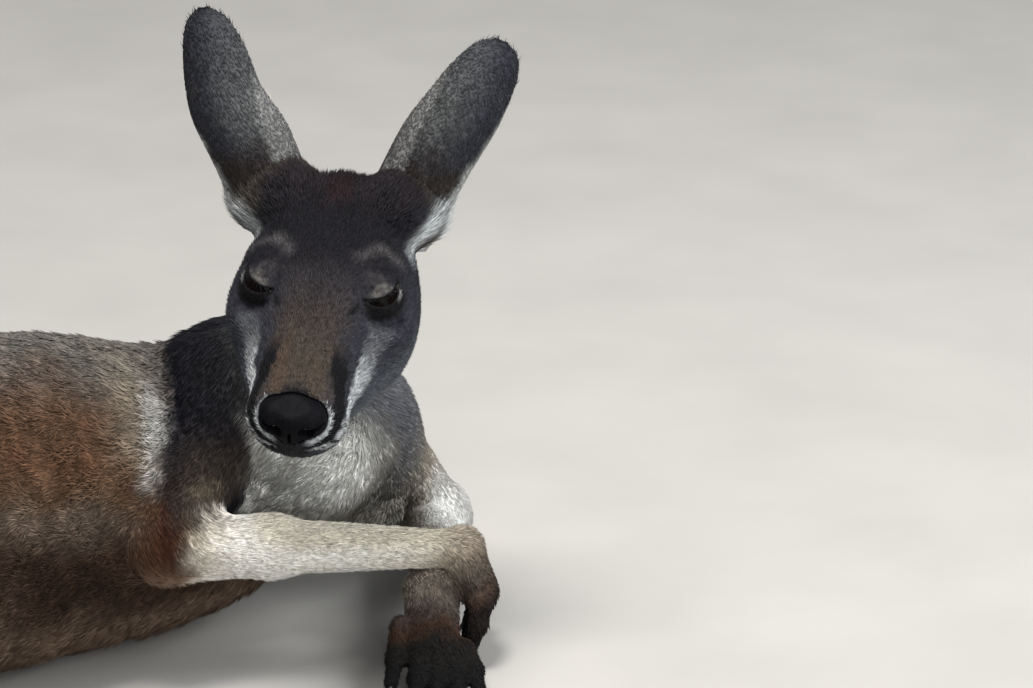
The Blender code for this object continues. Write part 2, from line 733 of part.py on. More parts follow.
def foot_claws(side):
    claws = {}
    forward, across = foot_axes(side)
    toe = vector(LEGS[side]["toe"])
    for name, _, (back, out), _, radius, length in TOES:
        tip = toe - forward * (back + TOE_CLAW_ROOT - radius * 0.7) + across * out + (0, 0, radius * 0.25)
        node = "toe_claw_{}_{}".format(name, side)
        claws[node] = claw(node, tip, forward, (0, 0, -1), length, radius * 0.52)
    return claws


def joint_cut(before, joint, after, radius):
    """A saw cut that halves a bent joint, reaching further into the crook of the bend."""
    arriving, leaving = unit(vector(joint) - before), unit(vector(after) - joint)
    return joint + unit(leaving - arriving) * radius * 0.35, arriving + leaving, radius


def limb(whole, neighbours, cuts, seeds, claws, tip):
    """A limb clear of its neighbours, sawn into nodes, with claws let into its last one.

    The uncut limb comes back too, so that the other side's limb can be kept clear of it.
    """
    for neighbour in neighbours:
        let_in(whole, neighbour)
        whole = keep_largest(whole)
    untouched = as_cutter(twin(whole, whole.name + "_guide"))
    nodes = part(whole, cuts, seeds)
    for piece in claws.values():
        let_in(nodes[tip], piece)
    nodes[tip] = keep_largest(nodes[tip])
    nodes.update(claws)
    return nodes, untouched


def arm(side, neighbours):
    """Upper arm, forearm, hand and claws."""
    at = {name: vector(place) for name, place in ARMS[side].items()}
    whole = from_form("arm_" + side, arm_shapes(side), LIMB_STEP, ARM_TRIANGLES)
    cuts = [joint_cut(at["shoulder"], at["elbow"], at["wrist"], 0.064),
            joint_cut(at["elbow"], at["wrist"], at["palm"], 0.030)]
    seeds = {"upper_arm_" + side: blend_between(at["shoulder"], at["elbow"], 0.6),
             "forearm_" + side: blend_between(at["elbow"], at["wrist"], 0.5),
             "hand_" + side: at["palm"]}
    return limb(whole, neighbours, cuts, seeds, hand_claws(side), "hand_" + side)


def leg(side, neighbours):
    """Lower thigh, shank, foot and toe claws."""
    at = {name: vector(place) for name, place in LEGS[side].items()}
    whole = from_form("leg_" + side, leg_shapes(side), LIMB_STEP, LEG_TRIANGLES)
    cuts = [joint_cut(at["hip"], at["knee"], at["ankle"], 0.090),
            joint_cut(at["knee"], at["ankle"], at["toe"], 0.050)]
    seeds = {"thigh_" + side: blend_between(at["hip"], at["knee"], 0.8),
             "shank_" + side: blend_between(at["knee"], at["ankle"], 0.5),
             "foot_" + side: blend_between(at["ankle"], at["toe"], 0.5)}
    return limb(whole, neighbours, cuts, seeds, foot_claws(side), "foot_" + side)


def body_cuts():
    """Where the body is sawn, and a seed near the middle of each resulting node."""
    spine = [vector(row[0]) for row in SPINE]
    tail = [vector(row[0]) for row in TAIL]
    cuts = [
        ((-0.113, -0.4785, 0.2195), (-0.17, -0.75, 0.64), 0.070),
        (on_head(0.118, 0, -0.045), HEAD_AXES[0], 0.060),
        ((-0.130, -0.462, 0.165), (0.25, 0.0, 1.0), 0.068),
        ((-0.236, -0.499, 0.089), spine[3] - spine[2], 0.120),
        (spine[5], spine[6] - spine[4], 0.150),
        (blend_between(tail[0], tail[1], 0.75), tail[1] - tail[0], 0.085),
        (blend_between(tail[2], tail[3], 0.4), tail[3] - tail[2], 0.070),
        (blend_between(tail[3], tail[4], 0.7), tail[4] - tail[3], 0.060),
    ]
    seeds = {
        "head": on_head(0.062, 0, -0.045), "muzzle": on_head(0.150, 0, -0.042),
        "neck": (-0.125, -0.475, 0.195), "chest": (-0.165, -0.480, 0.090),
        "belly": spine[4], "rump": (-0.620, -0.750, 0.110), "tail_base": tail[2],
        "tail_middle": tail[3] - (0.03, 0, 0), "tail_tip": blend_between(tail[4], tail[5], 0.4),
    }
    return cuts, seeds


def build_body():
    shapes = trunk_shapes() + neck_shapes() + head_shapes() + tail_shapes() + haunch_shapes()
    return from_form("body", shapes, BODY_STEP, BODY_TRIANGLES)


def head_pieces(nodes, ears):
    """Eyes behind half-closed lids, the nose pad with its nostrils, and the ears."""
    for side, sign in (("right", -1), ("left", 1)):
        seat = on_head(EYE_SEAT[0], sign * EYE_SEAT[1], EYE_SEAT[2])
        eye = ball("eye_" + side, seat, (EYE_RADIUS,) * 3, HEAD_AXES)
        let_in(nodes["head"], eye)
        forward, out, up = vector(EYE_SEAT) + SLIT_SEAT
        carve(nodes["head"], ball("slit", on_head(forward, sign * out, up), EYE_SLIT, HEAD_AXES))
        nodes[eye.name] = eye
    nodes["head"] = keep_largest(nodes["head"])
    nose = ball("nose", on_head(*NOSE_SEAT), NOSE_PAD, HEAD_AXES)
    let_in(nodes["muzzle"], nose)
    forward, out, up = vector(NOSE_SEAT) + NOSTRIL_SEAT
    for sign in (-1, 1):
        carve(nose, ball("nostril", on_head(forward, sign * out, up), NOSTRIL, HEAD_AXES, 5, 6))
    nodes["nose"] = nose
    nodes["muzzle"] = keep_largest(nodes["muzzle"])
    nodes.update({piece.name: piece for piece in ears})


def material(name, colour, roughness):
    made = bpy.data.materials.new(name)
    made.use_nodes = True
    shader = made.node_tree.nodes["Principled BSDF"]
    shader.inputs["Base Color"].default_value = (*colour, 1)
    shader.inputs["Roughness"].default_value = roughness
    shader.inputs["Metallic"].default_value = 0.0
    return made


def finish_of(name):
    """The finish whose list has the start of this node's name."""
    return next(finish for finish, (_, _, starts) in FINISHES.items() if name.startswith(starts))


def main():
    for thing in list(bpy.data.objects):
        bpy.data.objects.remove(thing, do_unlink=True)
    body = build_body()
    ears = []
    for side in EARS:
        leaf = ear(side)
        let_in(leaf, body)
        ears.append(keep_largest(leaf))
    limbs = {}
    for make in (arm, leg):
        right_nodes, right_limb = make("right", [body])
        left_nodes, left_limb = make("left", [body, right_limb])
        discard(right_limb)
        discard(left_limb)
        limbs.update(right_nodes | left_nodes)
    nodes = part(body, *body_cuts())
    head_pieces(nodes, ears)
    nodes.update(limbs)

    materials = {name: material(name, colour, roughness) for name, (colour, roughness, _) in FINISHES.items()}
    corners = np.array([v.co for thing in nodes.values() for v in thing.data.vertices])
    middle = (corners.min(0) + corners.max(0)) / 2
    for name, thing in nodes.items():
        for vertex in thing.data.vertices:
            vertex.co.x -= middle[0]
            vertex.co.y -= middle[1]
        thing.name = name
        thing.data.materials.clear()
        thing.data.materials.append(materials[finish_of(name)])
        thing.data.shade_smooth()
        thing.data.set_sharp_from_angle(angle=SHARP)


main()
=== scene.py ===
"""Red kangaroo lying down: one skin, its coat of mesh tufts, eyes, nose, claws and whiskers.

The animal's shapes are described in the same working frame as the solids (floor at z = 0, nose
towards -Y, the trunk running back along -X) and then moved level into the row frame, by where the
packed left eye sits. The skin's shapes are shrunk by the depth of the coat, which the tufts fill.
"""
import math

import bpy
import numpy as np
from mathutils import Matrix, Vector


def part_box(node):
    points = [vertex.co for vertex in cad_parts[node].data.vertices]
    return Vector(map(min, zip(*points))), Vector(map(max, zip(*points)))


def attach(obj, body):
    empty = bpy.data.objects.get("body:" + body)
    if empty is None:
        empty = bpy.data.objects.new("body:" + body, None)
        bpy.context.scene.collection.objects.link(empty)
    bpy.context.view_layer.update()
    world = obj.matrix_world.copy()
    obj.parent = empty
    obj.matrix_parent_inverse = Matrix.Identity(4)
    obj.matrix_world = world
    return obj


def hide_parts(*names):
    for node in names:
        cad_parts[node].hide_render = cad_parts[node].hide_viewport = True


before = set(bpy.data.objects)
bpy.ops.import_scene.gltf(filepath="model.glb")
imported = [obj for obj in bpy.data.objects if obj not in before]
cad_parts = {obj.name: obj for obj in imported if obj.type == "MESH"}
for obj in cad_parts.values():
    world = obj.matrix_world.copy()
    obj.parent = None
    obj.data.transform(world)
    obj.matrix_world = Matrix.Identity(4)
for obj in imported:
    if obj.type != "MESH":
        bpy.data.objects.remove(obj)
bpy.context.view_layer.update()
RANDOM = np.random.default_rng(7)

# ---- head: (forward to the nose, to the animal's left, up), from the poll ----
POLL = np.array((-0.0995, -0.508, 0.293))
HEAD_PITCH, HEAD_YAW, HEAD_ROLL = (math.radians(angle) for angle in (29, 9.5, 5.5))
EYE_SEAT = (0.0800, 0.0335, -0.0190)
EYE_RADIUS = 0.0125
LID_RADIUS = 0.0139
SOCKET_RADIUS = 0.0140
GAZE_TURN = math.radians(42)        # how far the eye looks sideways from straight ahead
LID_REACH = math.radians(78)        # from the middle of the opening to either corner
LID_MIDDLE = math.radians(40)
LID_UPPER, LID_LOWER = math.radians(12), math.radians(11)
MUZZLE_AXIS = -0.036                # height of the axis round which the muzzle's markings run
NOSE_SEAT = (0.1725, 0.0, -0.0180)

# ---- ears: centre line from root to tip, half width, and how far the back is turned sideways ----
EARS = {
    "right": {"line": ((-0.139, -0.499, 0.262), (-0.154, -0.497, 0.302), (-0.1675, -0.494, 0.330),
                       (-0.1752, -0.492, 0.3596), (-0.1805, -0.492, 0.385)),
              "half": 0.0255, "turn": -0.35},
    "left": {"line": ((-0.0720, -0.499, 0.250), (-0.0490, -0.497, 0.296), (-0.0295, -0.494, 0.327),
                      (-0.0165, -0.492, 0.3476), (-0.0080, -0.492, 0.3650)),
             "half": 0.0250, "turn": 0.25},
}
EAR_PROFILE = ((0.0, 0.92), (0.12, 0.98), (0.30, 1.0), (0.45, 0.98), (0.62, 0.91), (0.78, 0.79),
               (0.90, 0.58), (0.97, 0.34), (1.0, 0.08))
EAR_WRAP = ((0.0, 165.0), (0.18, 125.0), (0.4, 95.0), (0.7, 80.0), (1.0, 60.0))
EAR_ROOT_SPAN = (1, 3)              # the head's own cone inside the ear, in tenths of its line
EAR_ROOT_RADII = (0.0258, 0.0185)
EAR_SKIN = 0.0022                   # thickness of the ear between its two faces
EAR_INSET = 0.0012                  # how far the ear's skin lies inside the solid ear
EAR_ROWS, EAR_COLUMNS = 46, 31

# ---- trunk: centre, half width, half height, and how far the belly is rolled over, in radians ----
SPINE = (
    ((-0.130, -0.487, 0.104), 0.050, 0.050, 0.00),
    ((-0.160, -0.480, 0.098), 0.064, 0.070, 0.05),
    ((-0.216, -0.488, 0.086), 0.084, 0.088, 0.10),
    ((-0.294, -0.530, 0.096), 0.098, 0.101, 0.25),
    ((-0.390, -0.585, 0.103), 0.106, 0.110, 0.45),
    ((-0.490, -0.645, 0.106), 0.108, 0.116, 0.70),
    ((-0.590, -0.705, 0.102), 0.106, 0.116, 0.90),
    ((-0.670, -0.745, 0.088), 0.090, 0.096, 0.95),
    ((-0.740, -0.770, 0.066), 0.066, 0.068, 0.95),
)
ROLL_TOWARDS = (0.35, 0.94)         # the level direction that the back leans to as it rolls
NECK = (
    ((-0.148, -0.468, 0.118), 0.056, 0.055),
    ((-0.134, -0.462, 0.160), 0.047, 0.050),
    ((-0.118, -0.462, 0.200), 0.039, 0.045),
    ((-0.108, -0.474, 0.238), 0.037, 0.040),
)
TAIL = (
    ((-0.700, -0.755, 0.080), 0.070),
    ((-0.790, -0.785, 0.056), 0.057),
    ((-0.950, -0.805, 0.044), 0.046),
    ((-1.130, -0.800, 0.035), 0.037),
    ((-1.320, -0.770, 0.026), 0.028),
    ((-1.500, -0.730, 0.015), 0.017),
)

# ---- fore limbs: joints, palm and finger tips, and the direction across the palm ----
ARMS = {
    "left": {"shoulder": (-0.100, -0.452, 0.112), "elbow": (-0.052, -0.376, 0.022),
             "wrist": (-0.051, -0.545, 0.044), "palm": (-0.047, -0.590, 0.020),
             "tips": (-0.045, -0.628, 0.005), "across": (1.0, 0.05, -0.1)},
    "right": {"shoulder": (-0.172, -0.486, 0.142), "elbow": (-0.204, -0.584, 0.088),
              "wrist": (-0.032, -0.545, 0.070), "palm": (-0.020, -0.541, 0.038),
              "tips": (-0.029, -0.532, 0.010), "across": (0.0, -1.0, -0.1)},
}
FINGERS = {"thumb": (-1.15, 0.55), "index": (-0.55, 0.92), "middle": (0.0, 1.0), "ring": (0.55, 0.95),
           "little": (1.05, 0.75)}
FINGER_CLAW = (0.016, 0.0032)       # length and radius
FINGER_CLAW_ROOT = 0.003            # how deep the claw starts inside the fingertip
TOE_CLAW_ROOT = 0.008
CLAW_BEND = 0.30                    # how far a claw's tip drops, as a share of its length
CLAW_FLOOR = 0.0004                 # lowest point of a claw above the floor

# ---- hind limbs: joints; toe roots and tips as (back from the long toe's tip, sideways), two radii,
# and the length of the claw ----
LEGS = {
    "left": {"hip": (-0.600, -0.735, 0.078), "knee": (-0.455, -0.865, 0.050),
             "ankle": (-0.740, -1.105, 0.0215), "toe": (-0.500, -1.285, 0.0135)},
    "right": {"hip": (-0.600, -0.700, 0.146), "knee": (-0.650, -0.890, 0.132),
              "ankle": (-0.975, -1.060, 0.0215), "toe": (-0.855, -1.335, 0.0135)},
}
TOES = (
    ("fourth", (0.110, 0.000), (0.002, 0.000), 0.0155, 0.0105, 0.026),
    ("fifth", (0.105, -0.018), (0.048, -0.024), 0.0100, 0.0075, 0.017),
    ("second", (0.110, 0.015), (0.070, 0.0255), 0.0065, 0.0050, 0.015),
    ("third", (0.110, 0.010), (0.064, 0.0175), 0.0065, 0.0050, 0.015),
)

# ---- coat by part of the body: skin depth, hair length and width (m), lift (rad), tufts per cm2 ----
COAT = {
    "trunk": (0.0050, 0.0098, 0.0011, 0.26, 62),
    "neck": (0.0042, 0.0085, 0.0010, 0.24, 62),
    "head": (0.0014, 0.0046, 0.0008, 0.28, 62),
    "ear_root": (0.0014, 0.0066, 0.0008, 0.24, 60),
    "tail": (0.0035, 0.0130, 0.0018, 0.22, 15),
    "haunch": (0.0055, 0.0160, 0.0022, 0.24, 14),
    "leg": (0.0035, 0.0130, 0.0018, 0.22, 15),
    "foot": (0.0018, 0.0075, 0.0013, 0.22, 20),
    "upper_arm": (0.0034, 0.0082, 0.0010, 0.24, 55),
    "forearm": (0.0022, 0.0068, 0.0009, 0.22, 55),
    "hand": (0.0012, 0.0048, 0.0009, 0.26, 55),
    "finger": (0.0008, 0.0035, 0.0008, 0.28, 50),
}
GROUPS = list(COAT)
COAT_TABLE = np.array([COAT[group] for group in GROUPS])
FAR = 0.09                          # field value well outside the body
MARGIN = 0.06                       # how far beyond its box a shape still melts into its neighbours
BLOCK = 12                          # grid cells along one side of a sampling block
SOLE = 0.0012                       # height of the skin's flat underside above the floor
SPREAD = 0.010                      # how far the coat of one shape passes into the next one's
REGION_SOFTNESS = 0.0055            # the same for the colours of two parts of the body
ROWS_AT_ONCE = 20000                # points described together, to save memory
VIEW_FADE = (-0.35, 0.15)           # how much a surface faces the view: coat thins out between these
FRONT_FADE = (-0.47, -0.40)         # along X: the coat of the trunk thins out towards the rump


# ---- vectors ---------------------------------------------------------------------------------
def vector(values):
    return np.array(values, float)


def unit(values):
    values = vector(values)
    return values / np.linalg.norm(values)


def units(rows):
    return rows / np.maximum(np.linalg.norm(rows, axis=1), 1e-12)[:, None]


TOWARDS_VIEW = unit((0.1, -0.94, 0.34))


def blend_between(start, end, share):
    return vector(start) + (vector(end) - vector(start)) * share


def smooth_step(low, high, values):
    share = np.clip((values - low) / (high - low), 0, 1)
    return share * share * (3 - 2 * share)


def head_axes():
    """Rows: forward to the nose, to the animal's left, and up out of the forehead."""
    forward = vector((-math.sin(HEAD_YAW) * math.cos(HEAD_PITCH),
                      -math.cos(HEAD_YAW) * math.cos(HEAD_PITCH), -math.sin(HEAD_PITCH)))
    level_left = unit(np.cross(forward, (0, 0, 1))) * -1
    level_up = np.cross(forward, level_left)
    left = level_left * math.cos(HEAD_ROLL) - level_up * math.sin(HEAD_ROLL)
    return np.array((forward, left, np.cross(forward, left)))


HEAD_AXES = head_axes()


def on_head(forward, left, up):
    return POLL + vector((forward, left, up)) @ HEAD_AXES


def on_side(sign, place):
    """A place on the head that is given for the left side: there, or mirrored if sign is -1."""
    return on_head(place[0], sign * place[1], place[2])


def in_head(points):
    return (points - POLL) @ HEAD_AXES.T


def noise(points, cell, seed):
    """Smooth value noise from -1 to 1 on a lattice of this cell size."""
    place = points / cell + 1000.0
    base = np.floor(place).astype(np.int64)
    share = place - base
    share = share * share * (3 - 2 * share)
    total = np.zeros(len(points))
    for corner in range(8):
        offset = np.array([corner & 1, corner >> 1 & 1, corner >> 2 & 1])
        key = base + offset
        mixed = key[:, 0] * 374761393 + key[:, 1] * 668265263 + key[:, 2] * 2147483647 + seed * 974711
        mixed = (mixed ^ (mixed >> 13)) * 1274126177 & 0xFFFFFFFF
        value = ((mixed ^ (mixed >> 16)) & 0xFFFF) / 32767.5 - 1
        total += value * np.prod(np.where(offset, share, 1 - share), axis=1)
    return total


# ---- soft shapes -----------------------------------------------------------------------------
class Shape:
    """Something soft with a signed distance, its part of the body, and the lie of its coat."""

    def surround(self, low, high, group, blend):
        self.low, self.high, self.group, self.blend = low, high, GROUPS.index(group), blend


class Oval(Shape):
    def __init__(self, centre, radii, group, axes=None, blend=0.02, flow=(0, 0, -1)):
        self.centre, self.radii, self.flow = vector(centre), vector(radii), vector(flow)
        self.axes = np.eye(3) if axes is None else axes
        reach = np.abs(self.axes.T) @ self.radii
        self.surround(self.centre - reach, self.centre + reach, group, blend)

    def distance(self, points):
        local = (points - self.centre) @ self.axes.T
        near = np.linalg.norm(local / self.radii, axis=1)
        slope = np.linalg.norm(local / self.radii ** 2, axis=1)
        return near * (near - 1) / np.maximum(slope, 1e-9)

    def lie(self, points):
        return np.tile(self.flow, (len(points), 1))


class Limb(Shape):
    """A tapered capsule, which may be widened along 'side'; its coat lies from start to end."""

    def __init__(self, start, end, start_radius, end_radius, group, blend=0.02, side=None, widen=1.0):
        self.start, self.end, self.radii = vector(start), vector(end), (start_radius, end_radius)
        self.side, self.widen = None if side is None else unit(side), widen
        reach = max(self.radii) * max(1.0, widen)
        self.surround(np.minimum(self.start, self.end) - reach, np.maximum(self.start, self.end) + reach,
                      group, blend)

    def distance(self, points):
        axis = self.end - self.start
        offset = points - self.start
        share = np.clip(offset @ axis / (axis @ axis), 0, 1)
        offset = offset - share[:, None] * axis
        if self.side is not None:
            sideways = offset @ self.side
            offset = offset - (sideways * (1 - 1 / self.widen))[:, None] * self.side
        radius = self.radii[0] + (self.radii[1] - self.radii[0]) * share
        return np.linalg.norm(offset, axis=1) - radius

    def lie(self, points):
        return np.tile(unit(self.end - self.start), (len(points), 1))


def smooth_line(points, count):
    """Catmull-Rom curve through the rows of 'points'."""
    points = np.asarray(points, float)
    place = np.linspace(0, len(points) - 1, count)
    index = np.minimum(place.astype(int), len(points) - 2)
    share = (place - index)[:, None]
    a, b, c, d = (points[np.clip(index + k, 0, len(points) - 1)] for k in (-1, 0, 1, 2))
    return 0.5 * (2 * b + (c - a) * share + (2 * a - 5 * b + 4 * c - d) * share ** 2
                  + (3 * b - a - 3 * c + d) * share ** 3)


class Loft(Shape):
    """A tube along a smooth line, oval in section; its coat lies along it, or back if 'sense' is -1."""

    def __init__(self, line, across, along, ups, group, blend=0.02, count=48, sense=1):
        self.line, self.sense = smooth_line(line, count), sense
        self.across = smooth_line(vector(across)[:, None], count)[:, 0]
        self.along = smooth_line(vector(along)[:, None], count)[:, 0]
        step = np.gradient(self.line, axis=0)
        self.spacing = np.linalg.norm(step, axis=1)
        self.forward = step / self.spacing[:, None]
        up = smooth_line(ups, count)
        up -= (up * self.forward).sum(1)[:, None] * self.forward
        self.up = units(up)
        self.side = np.cross(self.forward, self.up)
        reach = max(self.across.max(), self.along.max())
        self.surround(self.line.min(0) - reach, self.line.max(0) + reach, group, blend)

    def station(self, points):
        squared = (points ** 2).sum(1)[:, None] - 2 * points @ self.line.T + (self.line ** 2).sum(1)
        nearest = squared.argmin(1)
        shift = ((points - self.line[nearest]) * self.forward[nearest]).sum(1)
        return np.clip(nearest + shift / self.spacing[nearest], 0, len(self.line) - 1)

    def between(self, rows, place):
        index = np.minimum(place.astype(int), len(self.line) - 2)
        share = place - index
        share = share[:, None] if rows.ndim > 1 else share
        return rows[index] + (rows[index + 1] - rows[index]) * share

    def local(self, points, place):
        """Offsets from the line: sideways, up, and forward."""
        offset = points - self.between(self.line, place)
        return np.stack([(offset * self.between(axis, place)).sum(1)
                         for axis in (self.side, self.up, self.forward)], 1)

    def distance(self, points):
        place = self.station(points)
        across, along = self.between(self.across, place), self.between(self.along, place)
        radii = np.stack((across, along, (across + along) / 2), 1)
        local = self.local(points, place)
        near = np.linalg.norm(local / radii, axis=1)
        slope = np.linalg.norm(local / radii ** 2, axis=1)
        return np.where(slope < 1e-6, -np.minimum(across, along), near * (near - 1) / np.maximum(slope, 1e-6))

    def lie(self, points):
        return self.between(self.forward, self.station(points)) * self.sense


# ---- anatomy ---------------------------------------------------------------------------------
def trunk_loft():
    centres, across, along, rolls = zip(*SPINE)
    ups = [(*(math.sin(roll) * vector(ROLL_TOWARDS)), math.cos(roll)) for roll in rolls]
    return Loft(centres, across, along, ups, "trunk")


TRUNK = trunk_loft()


def trunk_shapes():
    """The trunk, the hump of the shoulders, and the fold of skin between the chest and the left arm."""
    withers = Oval((-0.180, -0.455, 0.132), (0.055, 0.045, 0.033), "trunk", blend=0.03, flow=(-0.9, 0, -0.3))
    web = Oval((-0.092, -0.447, 0.057), (0.028, 0.022, 0.022), "trunk", blend=0.02, flow=(-0.5, 0, -0.8))
    return [TRUNK, withers, web]


def neck_shapes():
    centres, across, along = zip(*NECK)
    return [Loft(centres, across, along, [(0, 1, 0)] * len(NECK), "neck", 0.025, 24, sense=-1)]


def tail_shapes():
    centres, radii = zip(*TAIL)
    return [Loft(centres, radii, radii, [(0, 0, 1)] * len(TAIL), "tail", 0.03, 40)]


def head_shapes():
    back, down = -HEAD_AXES[0], -HEAD_AXES[2]

    def oval(centre, radii, blend=0.02, flow=back):
        return Oval(on_head(*centre), radii, "head", HEAD_AXES, blend, flow)

    def limb(start, end, start_radius, end_radius, blend, widen):
        return Limb(on_head(*start), on_head(*end), start_radius, end_radius, "head", blend,
                    HEAD_AXES[1], widen)

    cranium = oval((0.040, 0, -0.033), (0.048, 0.044, 0.038))
    forehead = oval((0.072, 0, -0.033), (0.042, 0.043, 0.033))
    crown = oval((0.018, 0, -0.0245), (0.028, 0.026, 0.025), 0.014)
    muzzle = limb((0.156, 0, -0.033), (0.085, 0, -0.040), 0.0255, 0.0355, 0.02, 1.12)
    lips = oval((0.164, 0, -0.0315), (0.0178, 0.0248, 0.0202), 0.014)
    jaw = limb((0.149, 0, -0.050), (0.065, 0, -0.068), 0.0120, 0.024, 0.012, 1.40)
    shapes = [cranium, forehead, crown, muzzle, lips, jaw]
    for side in (-1, 1):
        outward = side * HEAD_AXES[1]
        shapes += [
            oval((0.070, side * 0.031, -0.052), (0.043, 0.0225, 0.034), flow=back + 0.8 * down),
            oval((0.108, side * 0.024, -0.044), (0.032, 0.014, 0.018), 0.015, back + 0.5 * down),
            oval((0.084, side * 0.040, -0.034), (0.022, 0.0125, 0.014), 0.012, back + 0.6 * down),
            oval((0.070, side * 0.033, -0.013), (0.018, 0.013, 0.011), 0.014, back + 0.6 * outward),
            oval((0.018, side * 0.031, -0.013), (0.022, 0.0215, 0.023), 0.011, back + 0.6 * outward),
        ]
    for shape in EARS.values():
        root, above = smooth_line(shape["line"], 11)[list(EAR_ROOT_SPAN)]
        shapes.append(Limb(root, above, *EAR_ROOT_RADII, "ear_root", 0.012))
    return shapes


def haunch_shapes():
    return [Limb(leg["hip"], blend_between(leg["hip"], leg["knee"], 0.5), 0.086, 0.072, "haunch", 0.04)
            for leg in LEGS.values()]


def foot_axes(side):
    """Forward along the foot, and across it towards its inner toes."""
    forward = unit(vector(LEGS[side]["toe"]) - vector(LEGS[side]["ankle"]))
    inward = 1 if side == "left" else -1
    return forward, unit(np.cross(forward, (0, 0, 1))) * inward


def leg_shapes(side):
    leg = {name: vector(place) for name, place in LEGS[side].items()}
    hip, knee, ankle = leg["hip"], leg["knee"], leg["ankle"]
    forward, across = foot_axes(side)
    shapes = [Limb(blend_between(hip, knee, 0.45), knee, 0.074, 0.047, "leg", 0.03),
              Limb(knee, blend_between(knee, ankle, 0.35), 0.045, 0.041, "leg", 0.02),
              Limb(blend_between(knee, ankle, 0.3), ankle, 0.039, 0.020, "leg", 0.02),
              Limb(ankle, ankle + forward * 0.10 - (0, 0, 0.003), 0.023, 0.0185, "foot", 0.015),
              Limb(ankle + forward * 0.08 - (0, 0, 0.004), leg["toe"] - forward * 0.09, 0.018, 0.0165,
                   "foot", 0.015, across, 1.25), ]
    for _, root, tip, root_radius, tip_radius, _ in TOES:
        start, end = (leg["toe"] - forward * back + across * out for back, out in (root, tip))
        shapes.append(Limb(start, end, root_radius, tip_radius, "foot", 0.006))
    return shapes


def finger_points(side):
    """Name, root, middle and tip of each digit."""
    arm = {name: vector(place) for name, place in ARMS[side].items()}
    wrist, palm, tips = arm["wrist"], arm["palm"], arm["tips"]
    along = unit(palm - wrist)
    across = unit(arm["across"] - (arm["across"] @ along) * along)
    for name, (spread, reach) in FINGERS.items():
        root = blend_between(wrist, palm, 0.55 if name == "thumb" else 0.9) + across * spread * 0.017
        middle = blend_between(palm, tips, reach - 0.5) + across * spread * 0.021
        tip = blend_between(palm, tips, reach) + across * spread * 0.0235
        yield name, root, middle, tip


def arm_shapes(side):
    arm = {name: vector(place) for name, place in ARMS[side].items()}
    shoulder, elbow, wrist = arm["shoulder"], arm["elbow"], arm["wrist"]
    middle = blend_between(elbow, wrist, 0.35)
    shapes = [Oval(shoulder, (0.036, 0.040, 0.042), "upper_arm", blend=0.03,
                   flow=unit(elbow - shoulder)), Limb(shoulder, elbow, 0.036, 0.023, "upper_arm", 0.03),
              Limb(elbow, middle, 0.0225, 0.0190, "forearm", 0.012),
              Limb(middle, wrist, 0.0182, 0.0118, "forearm", 0.010),
              Limb(wrist, blend_between(wrist, arm["palm"], 0.9), 0.0125, 0.0118, "hand", 0.008,
                   arm["across"], 1.4), ]
    for _, root, knuckle, tip in finger_points(side):
        shapes += [Limb(root, knuckle, 0.0068, 0.0058, "finger", 0.006),
                   Limb(knuckle, tip, 0.0058, 0.0046, "finger", 0.004)]
    return shapes


def melted(shapes, points):
    """Signed distance to the shapes melted together, each shrunk by the depth of its coat."""
    field = np.full(len(points), FAR)
    for shape in shapes:
        near = np.all((points > shape.low - MARGIN) & (points < shape.high + MARGIN), axis=1)
        if near.any():
            here, there = field[near], shape.distance(points[near]) + COAT_TABLE[shape.group, 0]
            overlap = np.maximum(shape.blend - np.abs(here - there), 0) / shape.blend
            field[near] = np.minimum(here, there) - overlap ** 2 * shape.blend / 4
    return field


def box_round(shapes, margin):
    """Low and high corners of a box round these shapes."""
    return (np.min([shape.low for shape in shapes], axis=0) - margin,
            np.max([shape.high for shape in shapes], axis=0) + margin)


def round_union(first, second, blend):
    overlap = np.maximum(blend - np.abs(first - second), 0) / blend
    return np.minimum(first, second) - overlap ** 2 * blend / 4


def round_cut(body, cutter, blend):
    return -round_union(-body, cutter, blend)


# ---- face details ----------------------------------------------------------------------------
# how far from its middle each detail of the face is worked out
EYE_NEIGHBOURHOOD, MOUTH_NEIGHBOURHOOD, NOSE_NEIGHBOURHOOD = 0.045, 0.06, 0.04


def eye_frame(sign):
    """Centre of the eye, and rows: gaze, towards the outer corner, up."""
    gaze = vector((math.cos(GAZE_TURN), sign * math.sin(GAZE_TURN), 0))
    outer = vector((-math.sin(GAZE_TURN), sign * math.cos(GAZE_TURN), 0))
    local = np.array((gaze, outer, (0, 0, 1)))
    return on_side(sign, EYE_SEAT), local @ HEAD_AXES


def eye_angles(points, sign):
    """Distance from the eye's centre, angle towards the outer corner, and angle up."""
    centre, axes = eye_frame(sign)
    local = (points - centre) @ axes.T
    distance = np.maximum(np.linalg.norm(local, axis=1), 1e-9)
    return distance, np.arctan2(local[:, 1], local[:, 0]), np.arcsin(np.clip(local[:, 2] / distance, -1, 1))


def lid_edges(turn):
    """Heights of the upper and lower lid edges, as angles, across the opening."""
    arch = np.clip(1 - (turn / LID_REACH) ** 2, 0, 1)
    middle = LID_MIDDLE + 0.04 * turn
    return middle + LID_UPPER * arch, middle - LID_LOWER * arch


